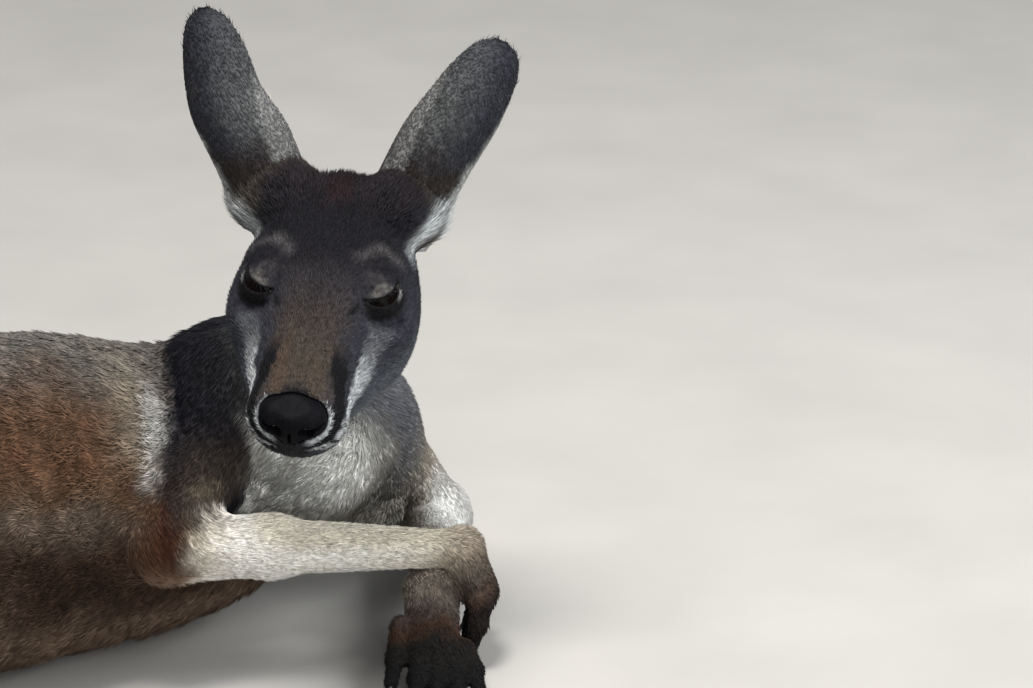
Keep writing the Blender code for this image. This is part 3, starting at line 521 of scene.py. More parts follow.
def with_eyes(points, field):
    """Sockets, the round lids in them, and the opening between the lids."""
    for sign in (-1, 1):
        centre, axes = eye_frame(sign)
        near = np.linalg.norm(points - centre, axis=1) < EYE_NEIGHBOURHOOD
        if not near.any():
            continue
        place, body = points[near], field[near]
        distance, turn, rise = eye_angles(place, sign)
        outward = axes[0] * 0.0055 + axes[2] * 0.0040
        socket = np.linalg.norm(place - centre - outward, axis=1) - SOCKET_RADIUS
        body = round_cut(body, socket, 0.010)
        above = rise - LID_MIDDLE - LID_UPPER
        folds = 0.0004 * np.cos(above * 15) * smooth_step(0.10, 0.25, above)
        body = round_union(body, distance - LID_RADIUS - folds, 0.0065)
        upper, lower = lid_edges(turn)
        opening = np.minimum(upper - rise, rise - lower) * LID_RADIUS
        opening = np.minimum(opening, (LID_REACH - np.abs(turn)) * LID_RADIUS)
        cut = round_cut(body, -opening, 0.0012)
        body = np.where(distance < 0.024, cut, body)
        field[near] = body
    return field


MOUTH = ((0.1875, 0.000, -0.0370), (0.180, 0.0125, -0.0385), (0.166, 0.0205, -0.0425),
         (0.148, 0.0255, -0.0465), (0.128, 0.0300, -0.0480), (0.116, 0.0325, -0.0465))


def with_mouth(points, field):
    """The closed mouth, a crease round the muzzle that ends in a fold at each corner."""
    near = np.linalg.norm(points - on_head(0.150, 0, -0.040), axis=1) < MOUTH_NEIGHBOURHOOD
    if near.any():
        local = in_head(points[near])
        local[:, 1] = np.abs(local[:, 1])
        line = smooth_line(MOUTH, 40)
        gap = np.sqrt(((local[:, None] - line[None]) ** 2).sum(2)).min(1)
        field[near] = round_cut(field[near], gap - 0.0011, 0.0022)
    return field


def with_nose_bed(points, field):
    """A shallow bed for the nose pad."""
    near = np.linalg.norm(points - on_head(*NOSE_SEAT), axis=1) < NOSE_NEIGHBOURHOOD
    if near.any():
        bed = nose_field(points[near]) - 0.0004
        field[near] = round_cut(field[near], bed, 0.002)
    return field


def nose_field(points):
    """The naked nose pad: a broad shield with two comma-shaped nostrils and a cleft below."""
    local = in_head(points) - NOSE_SEAT
    side = np.abs(local[:, 1])
    mirrored = np.stack((local[:, 0], side, local[:, 2]), 1)

    def oval(centre, radii):
        offset = (mirrored - centre) / radii
        near = np.linalg.norm(offset, axis=1)
        return near * (near - 1) / np.maximum(np.linalg.norm(offset / radii, axis=1), 1e-9)

    pad = oval(vector((0.000, 0.000, -0.001)), vector((0.0135, 0.0150, 0.0122)))
    wing = oval(vector((0.0015, 0.0115, -0.0005)), vector((0.0110, 0.0078, 0.0090)))
    pad = round_union(pad, wing, 0.004)
    lip = oval(vector((0.0050, 0.0, -0.0075)), vector((0.0080, 0.0075, 0.0070)))
    pad = round_union(pad, lip, 0.005)
    dip = oval(vector((0.0030, 0.0, 0.0145)), vector((0.0120, 0.0085, 0.0062)))
    pad = round_cut(pad, dip, 0.004)
    nostril = oval(vector((0.0115, 0.0090, -0.0015)), vector((0.0075, 0.0042, 0.0036)))
    slit = oval(vector((0.0085, 0.0155, 0.0010)), vector((0.0060, 0.0045, 0.0015)))
    pad = round_cut(pad, round_union(nostril, slit, 0.002), 0.0018)
    cleft = np.hypot(side, np.maximum(local[:, 2] + 0.002, 0)) - 0.0006
    cleft = np.where(local[:, 0] > 0, cleft, 0.01)
    return round_cut(pad, cleft, 0.0016)


# ---- the whole skin --------------------------------------------------------------------------
TORSO = trunk_shapes() + neck_shapes() + head_shapes() + tail_shapes() + haunch_shapes()
FORE_LIMBS = {side: arm_shapes(side) for side in ARMS}
HIND_LIMBS = {side: leg_shapes(side) for side in LEGS}
LIMB_BLEND = {"fore": 0.007, "hind": 0.010}


def skin_field(points):
    """Negative inside the skin: the torso and head, with every limb set against it."""
    field = melted(TORSO, points)
    field = with_eyes(points, field)
    field = with_mouth(points, field)
    field = with_nose_bed(points, field)
    for kind, limbs in (("fore", FORE_LIMBS), ("hind", HIND_LIMBS)):
        for shapes in limbs.values():
            low, high = box_round(shapes, MARGIN)
            near = np.all((points > low) & (points < high), axis=1)
            if near.any():
                limb = melted(shapes, points[near])
                first = shapes[0]
                joined = round_union(field[near], limb, LIMB_BLEND[kind])
                root = np.linalg.norm(points[near] - (first.low + first.high) / 2, axis=1)
                melt = round_union(field[near], limb, 0.03)
                reach = np.max(first.high - first.low) * 0.5
                share = smooth_step(reach * 1.5, reach * 0.9, root)
                field[near] = joined + (melt - joined) * share
    return np.maximum(field, SOLE - points[:, 2])


# ---- meshing ---------------------------------------------------------------------------------
CORNERS = [(i, j, k) for i in (0, 1) for j in (0, 1) for k in (0, 1)]


def sample(field, low, high, step):
    """Field values on a grid; blocks far from the surface only get their sign."""
    blocks = np.ceil((high - low) / step / BLOCK).astype(int)
    corners = np.stack(np.meshgrid(*[np.arange(n) for n in blocks], indexing="ij"), -1).reshape(-1, 3)
    middle = field(low + ((corners + 0.5) * BLOCK - 0.5) * step)
    grid = (np.sign(middle) * FAR).reshape(blocks).astype(np.float32)
    for axis in range(3):
        grid = np.repeat(grid, BLOCK, axis)
    reach = BLOCK * step * 0.5 * math.sqrt(3) * 1.25 + step
    inner = np.stack(np.meshgrid(*[np.arange(BLOCK)] * 3, indexing="ij"), -1).reshape(-1, 3)
    wanted = corners[np.abs(middle) < reach] * BLOCK
    for start in range(0, len(wanted), 60):
        cells = (wanted[start:start + 60, None] + inner[None]).reshape(-1, 3)
        grid[tuple(cells.T)] = field(low + cells * step)
    return grid


def surface_nets(grid, low, step):
    """Quads round the zero level of the grid: one point in each cell that the surface crosses."""
    inside = grid < 0
    size = np.array(grid.shape) - 1
    count = np.zeros(size, np.int8)
    for i, j, k in CORNERS:
        count += inside[i:size[0] + i, j:size[1] + j, k:size[2] + k]
    cells = np.argwhere((count > 0) & (count < 8))
    number = np.full(size, -1, np.int32)
    number[tuple(cells.T)] = np.arange(len(cells))
    values = {corner: grid[tuple((cells + corner).T)] for corner in CORNERS}
    total, hits = np.zeros((len(cells), 3)), np.zeros(len(cells))
    for corner in CORNERS:
        for axis in range(3):
            if corner[axis]:
                continue
            other = tuple(1 if k == axis else corner[k] for k in range(3))
            first, second = values[corner], values[other]
            crossing = (first < 0) != (second < 0)
            point = np.tile(vector(corner), (len(cells), 1))
            point[:, axis] = first / np.where(crossing, first - second, 1)
            total += point * crossing[:, None]
            hits += crossing
    points = low + (cells + total / hits[:, None]) * step
    quads = []
    for axis in range(3):
        one, two = (k for k in range(3) if k != axis)
        here = [slice(1, n) for n in size]
        there = list(here)
        here[axis], there[axis] = slice(0, size[axis]), slice(1, size[axis] + 1)
        change = np.argwhere(inside[tuple(here)] != inside[tuple(there)])
        outward = inside[tuple(here)][tuple(change.T)]
        base = change + 1
        base[:, axis] -= 1
        ring = []
        for step_one, step_two in ((0, 0), (-1, 0), (-1, -1), (0, -1)):
            cell = base.copy()
            cell[:, one] += step_one
            cell[:, two] += step_two
            cell = np.minimum(cell, size - 1)
            ring.append(number[tuple(cell.T)])
        ring = np.stack(ring, 1)
        turned = outward if axis == 1 else ~outward
        ring[turned] = ring[turned][:, ::-1]
        quads.append(ring[(ring >= 0).all(1)])
    return points, np.concatenate(quads)


def settle_on(field, points, step):
    """Moves points towards the zero level along the field's slope, half a grid step at most."""
    here = field(points)
    slope = np.stack([field(points + offset) - here for offset in np.eye(3) * step * 0.25], 1) / (step * 0.25)
    move = -here[:, None] * slope / np.maximum((slope ** 2).sum(1), 0.2)[:, None]
    return points + np.clip(move, -step * 0.5, step * 0.5)


# ---- coat pieces: the part of the body, the line the unwrap goes round, and its side-up direction --
def core(line, up):
    """A line with a direction across it, to measure places on a piece of coat by angle and length."""
    ones = [0.05] * len(line)
    return Loft(line, ones, ones, [up] * len(line), "trunk", count=40)


def around(loft, points):
    """Place along the line from 0 to 1, and the angle round it from -pi to pi."""
    place = loft.station(points)
    local = loft.local(points, place)
    return place / (len(loft.line) - 1), np.arctan2(local[:, 0], local[:, 1])


def limb_core(joints, names):
    return core([vector(joints[name]) for name in names], (0.13, 0.21, 1.0))


REGION_CORES = {
    "trunk": TRUNK,
    "neck": core([row[0] for row in NECK], (0, 1, 0.1)),
    "head": core([on_head(0.0, 0, -0.035), on_head(0.1, 0, -0.038), on_head(0.19, 0, -0.036)], HEAD_AXES[2]),
    "tail": core([row[0] for row in TAIL], (0, 0, 1)),
    "haunch": core([(-0.60, -0.60, 0.11), (-0.60, -0.80, 0.11), (-0.56, -0.92, 0.08)], (0, 0, 1)),
}
for side in ARMS:
    REGION_CORES["arm_" + side] = limb_core(ARMS[side], ("shoulder", "elbow", "wrist"))
    REGION_CORES["hand_" + side] = limb_core(ARMS[side], ("wrist", "palm", "tips"))
    REGION_CORES["leg_" + side] = limb_core(LEGS[side], ("hip", "knee", "ankle"))
    REGION_CORES["foot_" + side] = limb_core(LEGS[side], ("ankle", "toe"))


# ---- markings --------------------------------------------------------------------------------
def paint(colour, target, weight):
    """Moves the rows of 'colour' towards the target, by a weight from 0 to 1."""
    colour += (vector(target) - colour) * np.clip(weight, 0, 1)[:, None]


def ramp(values, *stops):
    """Colours between stops of value, red, green and blue."""
    where, *shades = zip(*stops)
    return np.stack([np.interp(values, where, shade) for shade in shades], 1)


def stroke(points, start, end, radius, soft):
    """1 inside a fuzzy capsule, 0 outside."""
    start, end = vector(start), vector(end)
    axis = end - start
    share = np.clip((points - start) @ axis / max(axis @ axis, 1e-12), 0, 1)
    gap = np.linalg.norm(points - start - share[:, None] * axis, axis=1)
    return smooth_step(radius + soft, radius - soft, gap)


def face_stroke(points, sign, start, end, radius, soft):
    """The same between two places on one side of the head."""
    return stroke(points, on_side(sign, start), on_side(sign, end), radius, soft)


def trunk_colour(points):
    share, turn = around(TRUNK, points)
    top = np.cos(turn) + 0.1 * noise(points, 0.03, 1) + 0.06 * noise(points, 0.01, 2)
    # from the belly (-1) over the flank to the back (1); the dark band where the flank turns under towards
    # the floor (-0.5 to -0.25) is painted shade
    front = ramp(top, (-0.75, 0.14, 0.095, 0.066), (-0.5, 0.042, 0.023, 0.015),
                 (-0.25, 0.048, 0.027, 0.017), (0.02, 0.165, 0.124, 0.094), (0.18, 0.128, 0.077, 0.047),
                 (0.4, 0.125, 0.064, 0.035), (0.62, 0.13, 0.075, 0.046), (0.8, 0.125, 0.096, 0.078),
                 (0.95, 0.15, 0.136, 0.12))
    rear = ramp(top, (-0.8, 0.42, 0.35, 0.27), (-0.45, 0.3, 0.22, 0.155), (-0.1, 0.17, 0.102, 0.064),
                (0.4, 0.155, 0.088, 0.055), (0.9, 0.12, 0.086, 0.066))
    weight = smooth_step(0.4, 0.62, share + 0.04 * noise(points, 0.04, 3))[:, None]
    colour = front + (rear - front) * weight
    # redder flank behind the shoulder, grey chest, dark front edge of the shoulder
    reddish = smooth_step(-0.3, -0.37, points[:, 0]) * smooth_step(0.2, 0.5, top) * 0.5
    paint(colour, (0.15, 0.083, 0.049), reddish)
    chest = smooth_step(0.1, 0.03, share) * smooth_step(0.6, 0.1, top)
    paint(colour, (0.24, 0.225, 0.2), chest)
    shoulder = smooth_step(-0.206, -0.202, points[:, 0] + 0.0015 * noise(points, 0.006, 11))
    paint(colour, (0.014, 0.013, 0.02), shoulder * smooth_step(0.078, 0.096, points[:, 2]) * (1 - chest))
    return colour


# body marks keep clear of the head and lie above MARKS_FROM; the throat's keeps clear of the arm too
HEAD_CLEAR, ARM_CLEAR, MARKS_FROM = 0.004, 0.003, 0.11
BODY_MARKS = (
    # start, end, radius, softness, colour, strength
    ((-0.228, -0.52, 0.181), (-0.217, -0.57, 0.145), 0.01, 0.02, (0.3, 0.262, 0.205), 0.8),
    ((-0.214, -0.521, 0.173), (-0.2085, -0.542, 0.159), 0.0035, 0.0075, (0.42, 0.415, 0.4), 0.9),
    ((-0.2085, -0.542, 0.159), (-0.2065, -0.557, 0.147), 0.0055, 0.007, (0.64, 0.64, 0.62), 1.0),
    ((-0.2065, -0.557, 0.147), (-0.2085, -0.578, 0.125), 0.0036, 0.0055, (0.64, 0.64, 0.62), 1.0),
)
THROAT = ((-0.148, -0.53, 0.118), (-0.085, -0.52, 0.116), 0.028, 0.016, (0.83, 0.825, 0.78), 0.95)


def neck_colour(points):
    _, turn = around(REGION_CORES["neck"], points)
    front = -np.cos(turn) + 0.15 * noise(points, 0.012, 4)
    colour = ramp(front, (-0.2, 0.018, 0.017, 0.024), (0.35, 0.04, 0.04, 0.048), (0.75, 0.23, 0.24, 0.235))
    # lighter towards +X, on the side of the neck where the light falls: painted light
    paint(colour, (0.19, 0.198, 0.21), smooth_step(-0.11, -0.088, points[:, 0])
          * smooth_step(-0.2, 0.3, front))
    return colour


def arm_colour(points, side):
    share, turn = around(REGION_CORES["arm_" + side], points)
    uneven = share + 0.03 * noise(points, 0.01, 5)
    if side == "left":
        colour = ramp(uneven, (0.0, 0.2, 0.21, 0.235), (0.12, 0.35, 0.33, 0.3), (0.24, 0.58, 0.51, 0.41),
                      (0.42, 0.74, 0.7, 0.64), (0.6, 0.4, 0.35, 0.27), (0.85, 0.26, 0.225, 0.18),
                      (1.0, 0.19, 0.155, 0.125))
        inner = (smooth_step(-0.062, -0.05, points[:, 0])
                 * stroke(points, (-0.045, -0.42, 0.045), (-0.03, -0.4, 0.03), 0.03, 0.014))
        paint(colour, (0.86, 0.85, 0.82), inner)
        # painted shade in the gap between the chest and the left arm
        hidden = stroke(points, (-0.095, -0.45, 0.07), (-0.075, -0.43, 0.05), 0.016, 0.012)
        paint(colour, (0.05, 0.042, 0.045), hidden * 0.8)
        return colour
    colour = ramp(uneven, (0.0, 0.016, 0.015, 0.022), (0.24, 0.022, 0.02, 0.025),
                  (0.34, 0.04, 0.035, 0.034), (0.41, 0.09, 0.062, 0.042), (0.47, 0.3, 0.22, 0.14),
                  (0.54, 0.62, 0.55, 0.44), (0.63, 0.84, 0.8, 0.74), (0.82, 0.8, 0.77, 0.7),
                  (0.93, 0.64, 0.58, 0.48), (1.0, 0.38, 0.32, 0.25))
    upper = np.cos(turn) * smooth_step(0.6, 0.72, share) * smooth_step(1.0, 0.9, share)
    paint(colour, (0.56, 0.51, 0.4), smooth_step(0.2, 0.8, upper) * 0.75)
    # behind and below the elbow the arm has the flank's colour
    hind = smooth_step(-0.18, -0.2, points[:, 0] + 0.005 * noise(points, 0.01, 12))
    hind *= smooth_step(0.125, 0.11, points[:, 2])
    low = smooth_step(0.088, 0.07, points[:, 2])[:, None]
    colour += (vector((0.115, 0.062, 0.036)) + low * vector((0.075, 0.06, 0.048)) - colour) * hind[:, None]
    rust = stroke(points, (-0.199, -0.574, 0.123), (-0.203, -0.606, 0.098), 0.011, 0.011)
    paint(colour, (0.052, 0.015, 0.006), rust * 0.95)
    uneven = points[:, 2] + 0.004 * noise(points, 0.005, 14)
    brown = smooth_step(0.15, 0.126, uneven) * smooth_step(0.1, 0.112, uneven)
    brown *= smooth_step(-0.204, -0.196, points[:, 0])
    paint(colour, (0.062, 0.048, 0.04), brown * 0.9)
    crook = stroke(points, (-0.186, -0.572, 0.119), (-0.15, -0.548, 0.114), 0.003, 0.007)
    paint(colour, (0.23, 0.185, 0.13), crook * 0.8)
    return colour


def hand_colour(points, side):
    share, _ = around(REGION_CORES["hand_" + side], points)
    uneven = share + 0.05 * noise(points, 0.006, 6)
    pale = (0.26, 0.215, 0.17) if side == "left" else (0.3, 0.245, 0.185)
    return ramp(uneven, (-0.1, *pale), (0.1, 0.14, 0.11, 0.09), (0.22, 0.058, 0.044, 0.039),
                (0.36, 0.042, 0.021, 0.012), (0.46, 0.01, 0.008, 0.007), (0.7, 0.004, 0.004, 0.004))


def leg_colour(points, side):
    share, turn = around(REGION_CORES["leg_" + side], points)
    uneven = share + 0.04 * noise(points, 0.02, 7)
    colour = ramp(uneven, (0.0, 0.16, 0.095, 0.06), (0.4, 0.175, 0.108, 0.07), (0.7, 0.21, 0.15, 0.105),
                  (1.0, 0.2, 0.15, 0.11))
    paint(colour, (0.43, 0.37, 0.3), smooth_step(-0.1, -0.7, np.cos(turn)))
    return colour


def foot_colour(points, side):
    share, _ = around(REGION_CORES["foot_" + side], points)
    uneven = share + 0.05 * noise(points, 0.01, 8)
    return ramp(uneven, (0.0, 0.19, 0.14, 0.102), (0.45, 0.13, 0.092, 0.066), (0.68, 0.06, 0.042, 0.032),
                (0.9, 0.022, 0.017, 0.014))


def tail_colour(points):
    share, turn = around(REGION_CORES["tail"], points)
    top = np.cos(turn) + 0.2 * noise(points, 0.02, 9)
    upper = ramp(share, (0.0, 0.14, 0.092, 0.064), (0.4, 0.165, 0.12, 0.09), (0.8, 0.24, 0.205, 0.17),
                 (1.0, 0.3, 0.27, 0.235))
    lower = ramp(share, (0.0, 0.33, 0.27, 0.205), (1.0, 0.42, 0.385, 0.33))
    return upper + (lower - upper) * smooth_step(0.0, -0.7, top)[:, None]


BROW = ((0.068, 0.02, 0.0), (0.058, 0.03, -0.001), (0.063, 0.043, -0.008))
EYE_MARKS = (
    # start, end, radius, softness, colour: inner corner of the eye, spot behind it, fringe by the ear
    ((0.0935, 0.0268, -0.008), (0.102, 0.021, -0.008), 0.002, 0.0015, (0.004, 0.004, 0.005)),
    ((0.088, 0.047, -0.022), (0.091, 0.0475, -0.028), 0.002, 0.003, (0.01, 0.009, 0.013)),
    ((0.012, 0.053, -0.02), (0.038, 0.05, -0.022), 0.008, 0.006, (0.52, 0.54, 0.54)),
)
EAR_FRINGES = (
    ((-0.166, -0.503, 0.262), (-0.182, -0.5, 0.304)),
    ((-0.045, -0.503, 0.246), (-0.022, -0.5, 0.288)),
)


def head_colour(points):
    forward, left, up = in_head(points).T
    uneven = noise(points, 0.006, 10)
    fine = noise(points, 0.0025, 11)
    side = np.abs(left)
    turn = np.degrees(np.arctan2(side, up - MUZZLE_AXIS)) + 2.0 * uneven
    front = forward + 0.002 * uneven
    colour = np.tile(vector((0.029, 0.03, 0.039)), (len(points), 1))
    # dark forehead and crown, with a reddish middle
    paint(colour, (0.009, 0.008, 0.011), smooth_step(0.102, 0.07, front) * smooth_step(78, 45, turn))
    paint(colour, (0.0175, 0.0135, 0.0165), smooth_step(0.036, 0.02, front + 0.006 * uneven)
          * smooth_step(70, 45, turn))
    paint(colour, (0.022, 0.009, 0.011), smooth_step(0.04, 0.022, front) * smooth_step(17, 5, turn) * 0.8)
    # grey cheeks and pale jaw
    paint(colour, (0.09, 0.1, 0.116), smooth_step(80, 108, turn + 6 * fine) * smooth_step(0.05, 0.09, front))
    paint(colour, (0.25, 0.26, 0.25), smooth_step(118, 150, turn) * smooth_step(0.172, 0.15, front))
    # brown bridge of the muzzle, warmer towards the nose
    bridge = smooth_step(0.066, 0.108, front) * smooth_step(56, 18, turn + 9 * fine)
    paint(colour, (0.034, 0.026, 0.025), bridge * 0.8)
    paint(colour, (0.056, 0.043, 0.032), bridge * smooth_step(0.082, 0.146, front) * 0.85)
    warm = (bridge * smooth_step(0.098, 0.148, front) * smooth_step(8, 26, turn)
            * np.where(left < 0.002, 0.6, 0.12))
    paint(colour, (0.086, 0.053, 0.034), warm)
    paint(colour, (0.016, 0.013, 0.014), bridge * smooth_step(0.125, 0.09, front)
          * smooth_step(10, 3, turn) * 0.6)
    # white stripe along the muzzle, and the black band above it
    stripe_turn = np.interp(forward, (0.08, 0.098, 0.116, 0.135, 0.15, 0.168, 0.18),
                            (62, 66, 72, 79, 80, 85, 95))
    stripe = smooth_step(13, 7, np.abs(turn - stripe_turn + 3 * fine))
    fade = np.interp(forward, (0.094, 0.112, 0.13, 0.148, 0.17, 0.186), (0.0, 0.16, 0.6, 1.0, 1.0, 0.5))
    paint(colour, (0.62, 0.64, 0.65), stripe * fade * (0.8 + 0.4 * fine))
    band_turn = np.interp(forward, (0.12, 0.138, 0.155, 0.169, 0.18), (43, 45, 52, 62, 72))
    band = smooth_step(13, 8.5, np.abs(turn - band_turn + 3 * fine)) * smooth_step(0.12, 0.138, front)
    paint(colour, (0.004, 0.004, 0.005), band)
    # pale rim beside the nose pad, and dark fur round the pad
    nose = nose_field(points)
    beside = smooth_step(0.0055, 0.009, side + 0.0006 * fine) * smooth_step(-0.004, -0.009, up)
    width = np.interp(up, (-0.03, -0.022, -0.014, -0.008), (0.0036, 0.0027, 0.0014, 0.0006))
    rim = smooth_step(width + 0.0008, width - 0.0004, nose + 0.0004 * fine) * beside
    paint(colour, (0.4, 0.42, 0.43), rim * smooth_step(0.148, 0.154, front))
    paint(colour, (0.006, 0.006, 0.008), smooth_step(0.0014, 0.0006, nose))
    blend_top = (smooth_step(0.0075, 0.001, nose) * smooth_step(0.0095, 0.006, side)
                 * smooth_step(-0.018, -0.01, up))
    paint(colour, (0.008, 0.007, 0.009), blend_top * 0.9)
    low_front = smooth_step(-0.024, -0.029, up) * smooth_step(0.16, 0.17, front)
    paint(colour, (0.016, 0.015, 0.018), low_front * smooth_step(0.013, 0.006, side))
    # dark spots at the rim, and the chin
    spots = smooth_step(0.15, 0.45, noise(points, 0.0024, 12)) * smooth_step(0.0026, 0.0046, nose)
    paint(colour, (0.008, 0.008, 0.01), spots * smooth_step(0.156, 0.166, front)
          * smooth_step(-0.02, -0.026, up))
    chin = smooth_step(-0.038, -0.042, up) * smooth_step(0.148, 0.166, front)
    paint(colour, (0.018, 0.017, 0.021), chin * (0.8 + 0.2 * fine))
    # brown ear roots and their white fringes
    ear_root = np.min([shape.distance(points) for shape in head_shapes()[-2:]], axis=0)
    paint(colour, (0.058, 0.048, 0.038), smooth_step(0.01, -0.002, ear_root + 0.004 * uneven) * 0.9)
    for start, end in EAR_FRINGES:
        paint(colour, (0.52, 0.54, 0.53), stroke(points, start, end, 0.008, 0.004))
    for sign in (-1, 1):
        distance, swing, rise = eye_angles(points, sign)
        upper, lower = lid_edges(swing)
        over, under = np.degrees(rise - upper), np.degrees(lower - rise)
        for start, end in zip(BROW, BROW[1:]):
            brow = face_stroke(points, sign, start, end, 0.003, 0.0045)
            paint(colour, (0.085, 0.08, 0.08), brow * (0.6 + 0.4 * fine))
        # light patch on the upper lid, black rims, and dark fur below the eye
        close = smooth_step(0.0225, 0.017, distance)
        within = smooth_step(1.3, 0.8, np.abs(swing + 0.15))
        paint(colour, (0.03, 0.027, 0.03), close * smooth_step(18, 34, over))
        light = smooth_step(3, 9, over) * smooth_step(46, 12, over + 12 * fine)
        paint(colour, (0.105, 0.098, 0.09), close * within * light * (0.75 + 0.7 * noise(points, 0.0015, 13)))
        lid_rim = (smooth_step(0.017, 0.0152, distance) * smooth_step(5.0, 2.0, over)
                   * smooth_step(10, 5, under))
        paint(colour, (0.004, 0.004, 0.004), lid_rim)
        below = smooth_step(0.024, 0.018, distance) * smooth_step(0, 5, under) * smooth_step(44, 26, under)
        paint(colour, (0.006, 0.005, 0.006), below * smooth_step(1.3, 0.9, np.abs(swing)) * 0.95)
        outer_rim = (close * smooth_step(0.35, 0.6, swing) * smooth_step(1.5, 3.5, under)
                     * smooth_step(13, 8, under))
        paint(colour, (0.2, 0.195, 0.2), outer_rim * smooth_step(1.15, 0.95, swing))
        for start, end, radius, soft, shade in EYE_MARKS:
            paint(colour, shade, face_stroke(points, sign, start, end, radius, soft))
    return colour


REGION_COLOURS = {"trunk": trunk_colour, "haunch": trunk_colour, "neck": neck_colour, "head": head_colour,
                  "tail": tail_colour}
SIDED_COLOURS = {"arm": arm_colour, "hand": hand_colour, "leg": leg_colour, "foot": foot_colour}


def colour_of(region, points):
    if region in REGION_COLOURS:
        return REGION_COLOURS[region](points)
    kind, side = region.split("_")
    return SIDED_COLOURS[kind](points, side)


# ---- which region each shape belongs to ------------------------------------------------------
PARTS = [("trunk", trunk_shapes()), ("neck", neck_shapes()), ("head", head_shapes()), ("tail", tail_shapes()),
         ("haunch", haunch_shapes())]
for side in ARMS:
    arm, leg = FORE_LIMBS[side], HIND_LIMBS[side]
    PARTS += [("arm_" + side, arm[:4]), ("hand_" + side, arm[4:]), ("leg_" + side, leg[:3]),
              ("foot_" + side, leg[3:])]
REGIONS = [name for name, _ in PARTS]
SHAPES_OF = dict(PARTS)
SHAPES = [(number, shape) for number, (_, shapes) in enumerate(PARTS) for shape in shapes]


def describe(points):
    """Coat values, lie of the coat, colour, and main region at each point."""
    values, flow = np.zeros((len(points), 5)), np.zeros((len(points), 3))
    closeness = np.full((len(points), len(REGIONS)), 1.0)
    for start in range(0, len(points), ROWS_AT_ONCE):
        rows = slice(start, start + ROWS_AT_ONCE)
        place = points[rows]
        near = np.stack([shape.distance(place) for _, shape in SHAPES], 1)
        weight = np.exp(-np.minimum((near - near.min(1)[:, None]) / SPREAD, 30))
        weight /= weight.sum(1)[:, None]
        for number, (region, shape) in enumerate(SHAPES):
            share = weight[:, number:number + 1]
            values[rows] += share * COAT_TABLE[shape.group]
            if share.max() > 0.01:
                flow[rows] += share * shape.lie(place)
            closeness[rows, region] = np.minimum(closeness[rows, region], near[:, number])
    best = closeness.min(1)[:, None]
    share = np.exp(-np.minimum((closeness - best) / REGION_SOFTNESS, 30))
    share[share < 0.02] = 0
    share /= share.sum(1)[:, None]
    colour = np.zeros((len(points), 3))
    for number, region in enumerate(REGIONS):
        rows = share[:, number] > 0
        if rows.any():
            colour[rows] += share[rows, number:number + 1] * colour_of(region, points[rows])
    off_head = closeness[:, REGIONS.index("head")] > HEAD_CLEAR
    off_arm = closeness[:, [REGIONS.index("arm_right"), REGIONS.index("hand_right")]].min(1) > ARM_CLEAR
    for start, end, radius, soft, shade, strength in BODY_MARKS + (THROAT,):
        place = off_head & (off_arm if start == THROAT[0] else points[:, 2] > MARKS_FROM)
        edge = points + 0.0015 * np.stack([noise(points, 0.009, seed) for seed in (21, 22, 23)], 1)
        paint(colour, shade, stroke(edge, start, end, radius, soft) * strength * place)
    return values, units(flow), colour, closeness.argmin(1)


# ---- skin: zones with their grid steps and the regions that each covers ----------------------
ZONES = (("body", 0.0070, ("trunk", "neck", "tail", "haunch", "leg_left", "leg_right")),
         ("arm_left", 0.0036, ("arm_left",)), ("arm_right", 0.0036, ("arm_right",)),
         ("hand_left", 0.0018, ("hand_left",)), ("hand_right", 0.0018, ("hand_right",)),
         ("foot_left", 0.0040, ("foot_left",)), ("foot_right", 0.0040, ("foot_right",)),
         ("head", 0.0019, ("head",)))
ZONE_MARGIN = 0.012                 # how far a zone's grid reaches beyond its shapes
ZONE_OVERLAP = 1.7                  # how far a zone's patch runs into the next, in its own steps
MUZZLE_STEP, MUZZLE_START, MUZZLE_REACH = 0.0012, 0.130, 0.062
EYE_STEP, EYE_REACH, EYE_BLOCK = 0.0008, 0.0225, 0.025


def zone_fields(points):
    return np.stack([np.min([melted(SHAPES_OF[name], points) for name in names], axis=0)
                     for _, _, names in ZONES], 1)


def fine_zone(points):
    """How far inside the muzzle's and inside an eye's own patch each point is, in metres."""
    muzzle = in_head(points)[:, 0] - MUZZLE_START
    eyes = np.max([EYE_REACH - np.linalg.norm(points - eye_frame(sign)[0], axis=1) for sign in (-1, 1)],
                  axis=0)
    return muzzle, eyes


def patch(low, high, step, keep):
    """The skin inside a box, on a grid of this step, where keep(points) is true."""
    low, high = vector(low), vector(high)
    points, quads = surface_nets(sample(skin_field, low, high, step), low, step)
    points = settle_on(skin_field, points, step)
    quads = quads[keep(points)[quads].all(1)]
    used, quads = np.unique(quads, return_inverse=True)
    return points[used], quads.reshape(-1, 4)


def skin_patches():
    """A patch for each zone, a finer one for the muzzle, and the finest ones round the eyes."""
    patches = []
    for number, (zone, step, names) in enumerate(ZONES):
        def keep(points, number=number, zone=zone, step=step):
            fields = zone_fields(points)
            own = fields[:, number].copy()
            fields[:, number] = 1.0
            inside = own < fields.min(1) + step * ZONE_OVERLAP
            if zone == "head":
                muzzle, eyes = fine_zone(points)
                inside &= (muzzle < step) & (eyes < step)
            return inside
        members = [shape for name in names for shape in SHAPES_OF[name]]
        patches.append(patch(*box_round(members, ZONE_MARGIN), step, keep))
    middle = on_head(0.165, 0, -0.035)

    def on_muzzle(points):
        fields = zone_fields(points)
        return (fine_zone(points)[0] > 0) & (fields[:, -1] < fields[:, :-1].min(1))
    patches.append(patch(middle - MUZZLE_REACH, middle + MUZZLE_REACH, MUZZLE_STEP, on_muzzle))
    for sign in (-1, 1):
        centre = eye_frame(sign)[0]

        def on_eye(points, centre=centre):
            return np.linalg.norm(points - centre, axis=1) < EYE_REACH
        patches.append(patch(centre - EYE_BLOCK, centre + EYE_BLOCK, EYE_STEP, on_eye))
    return patches


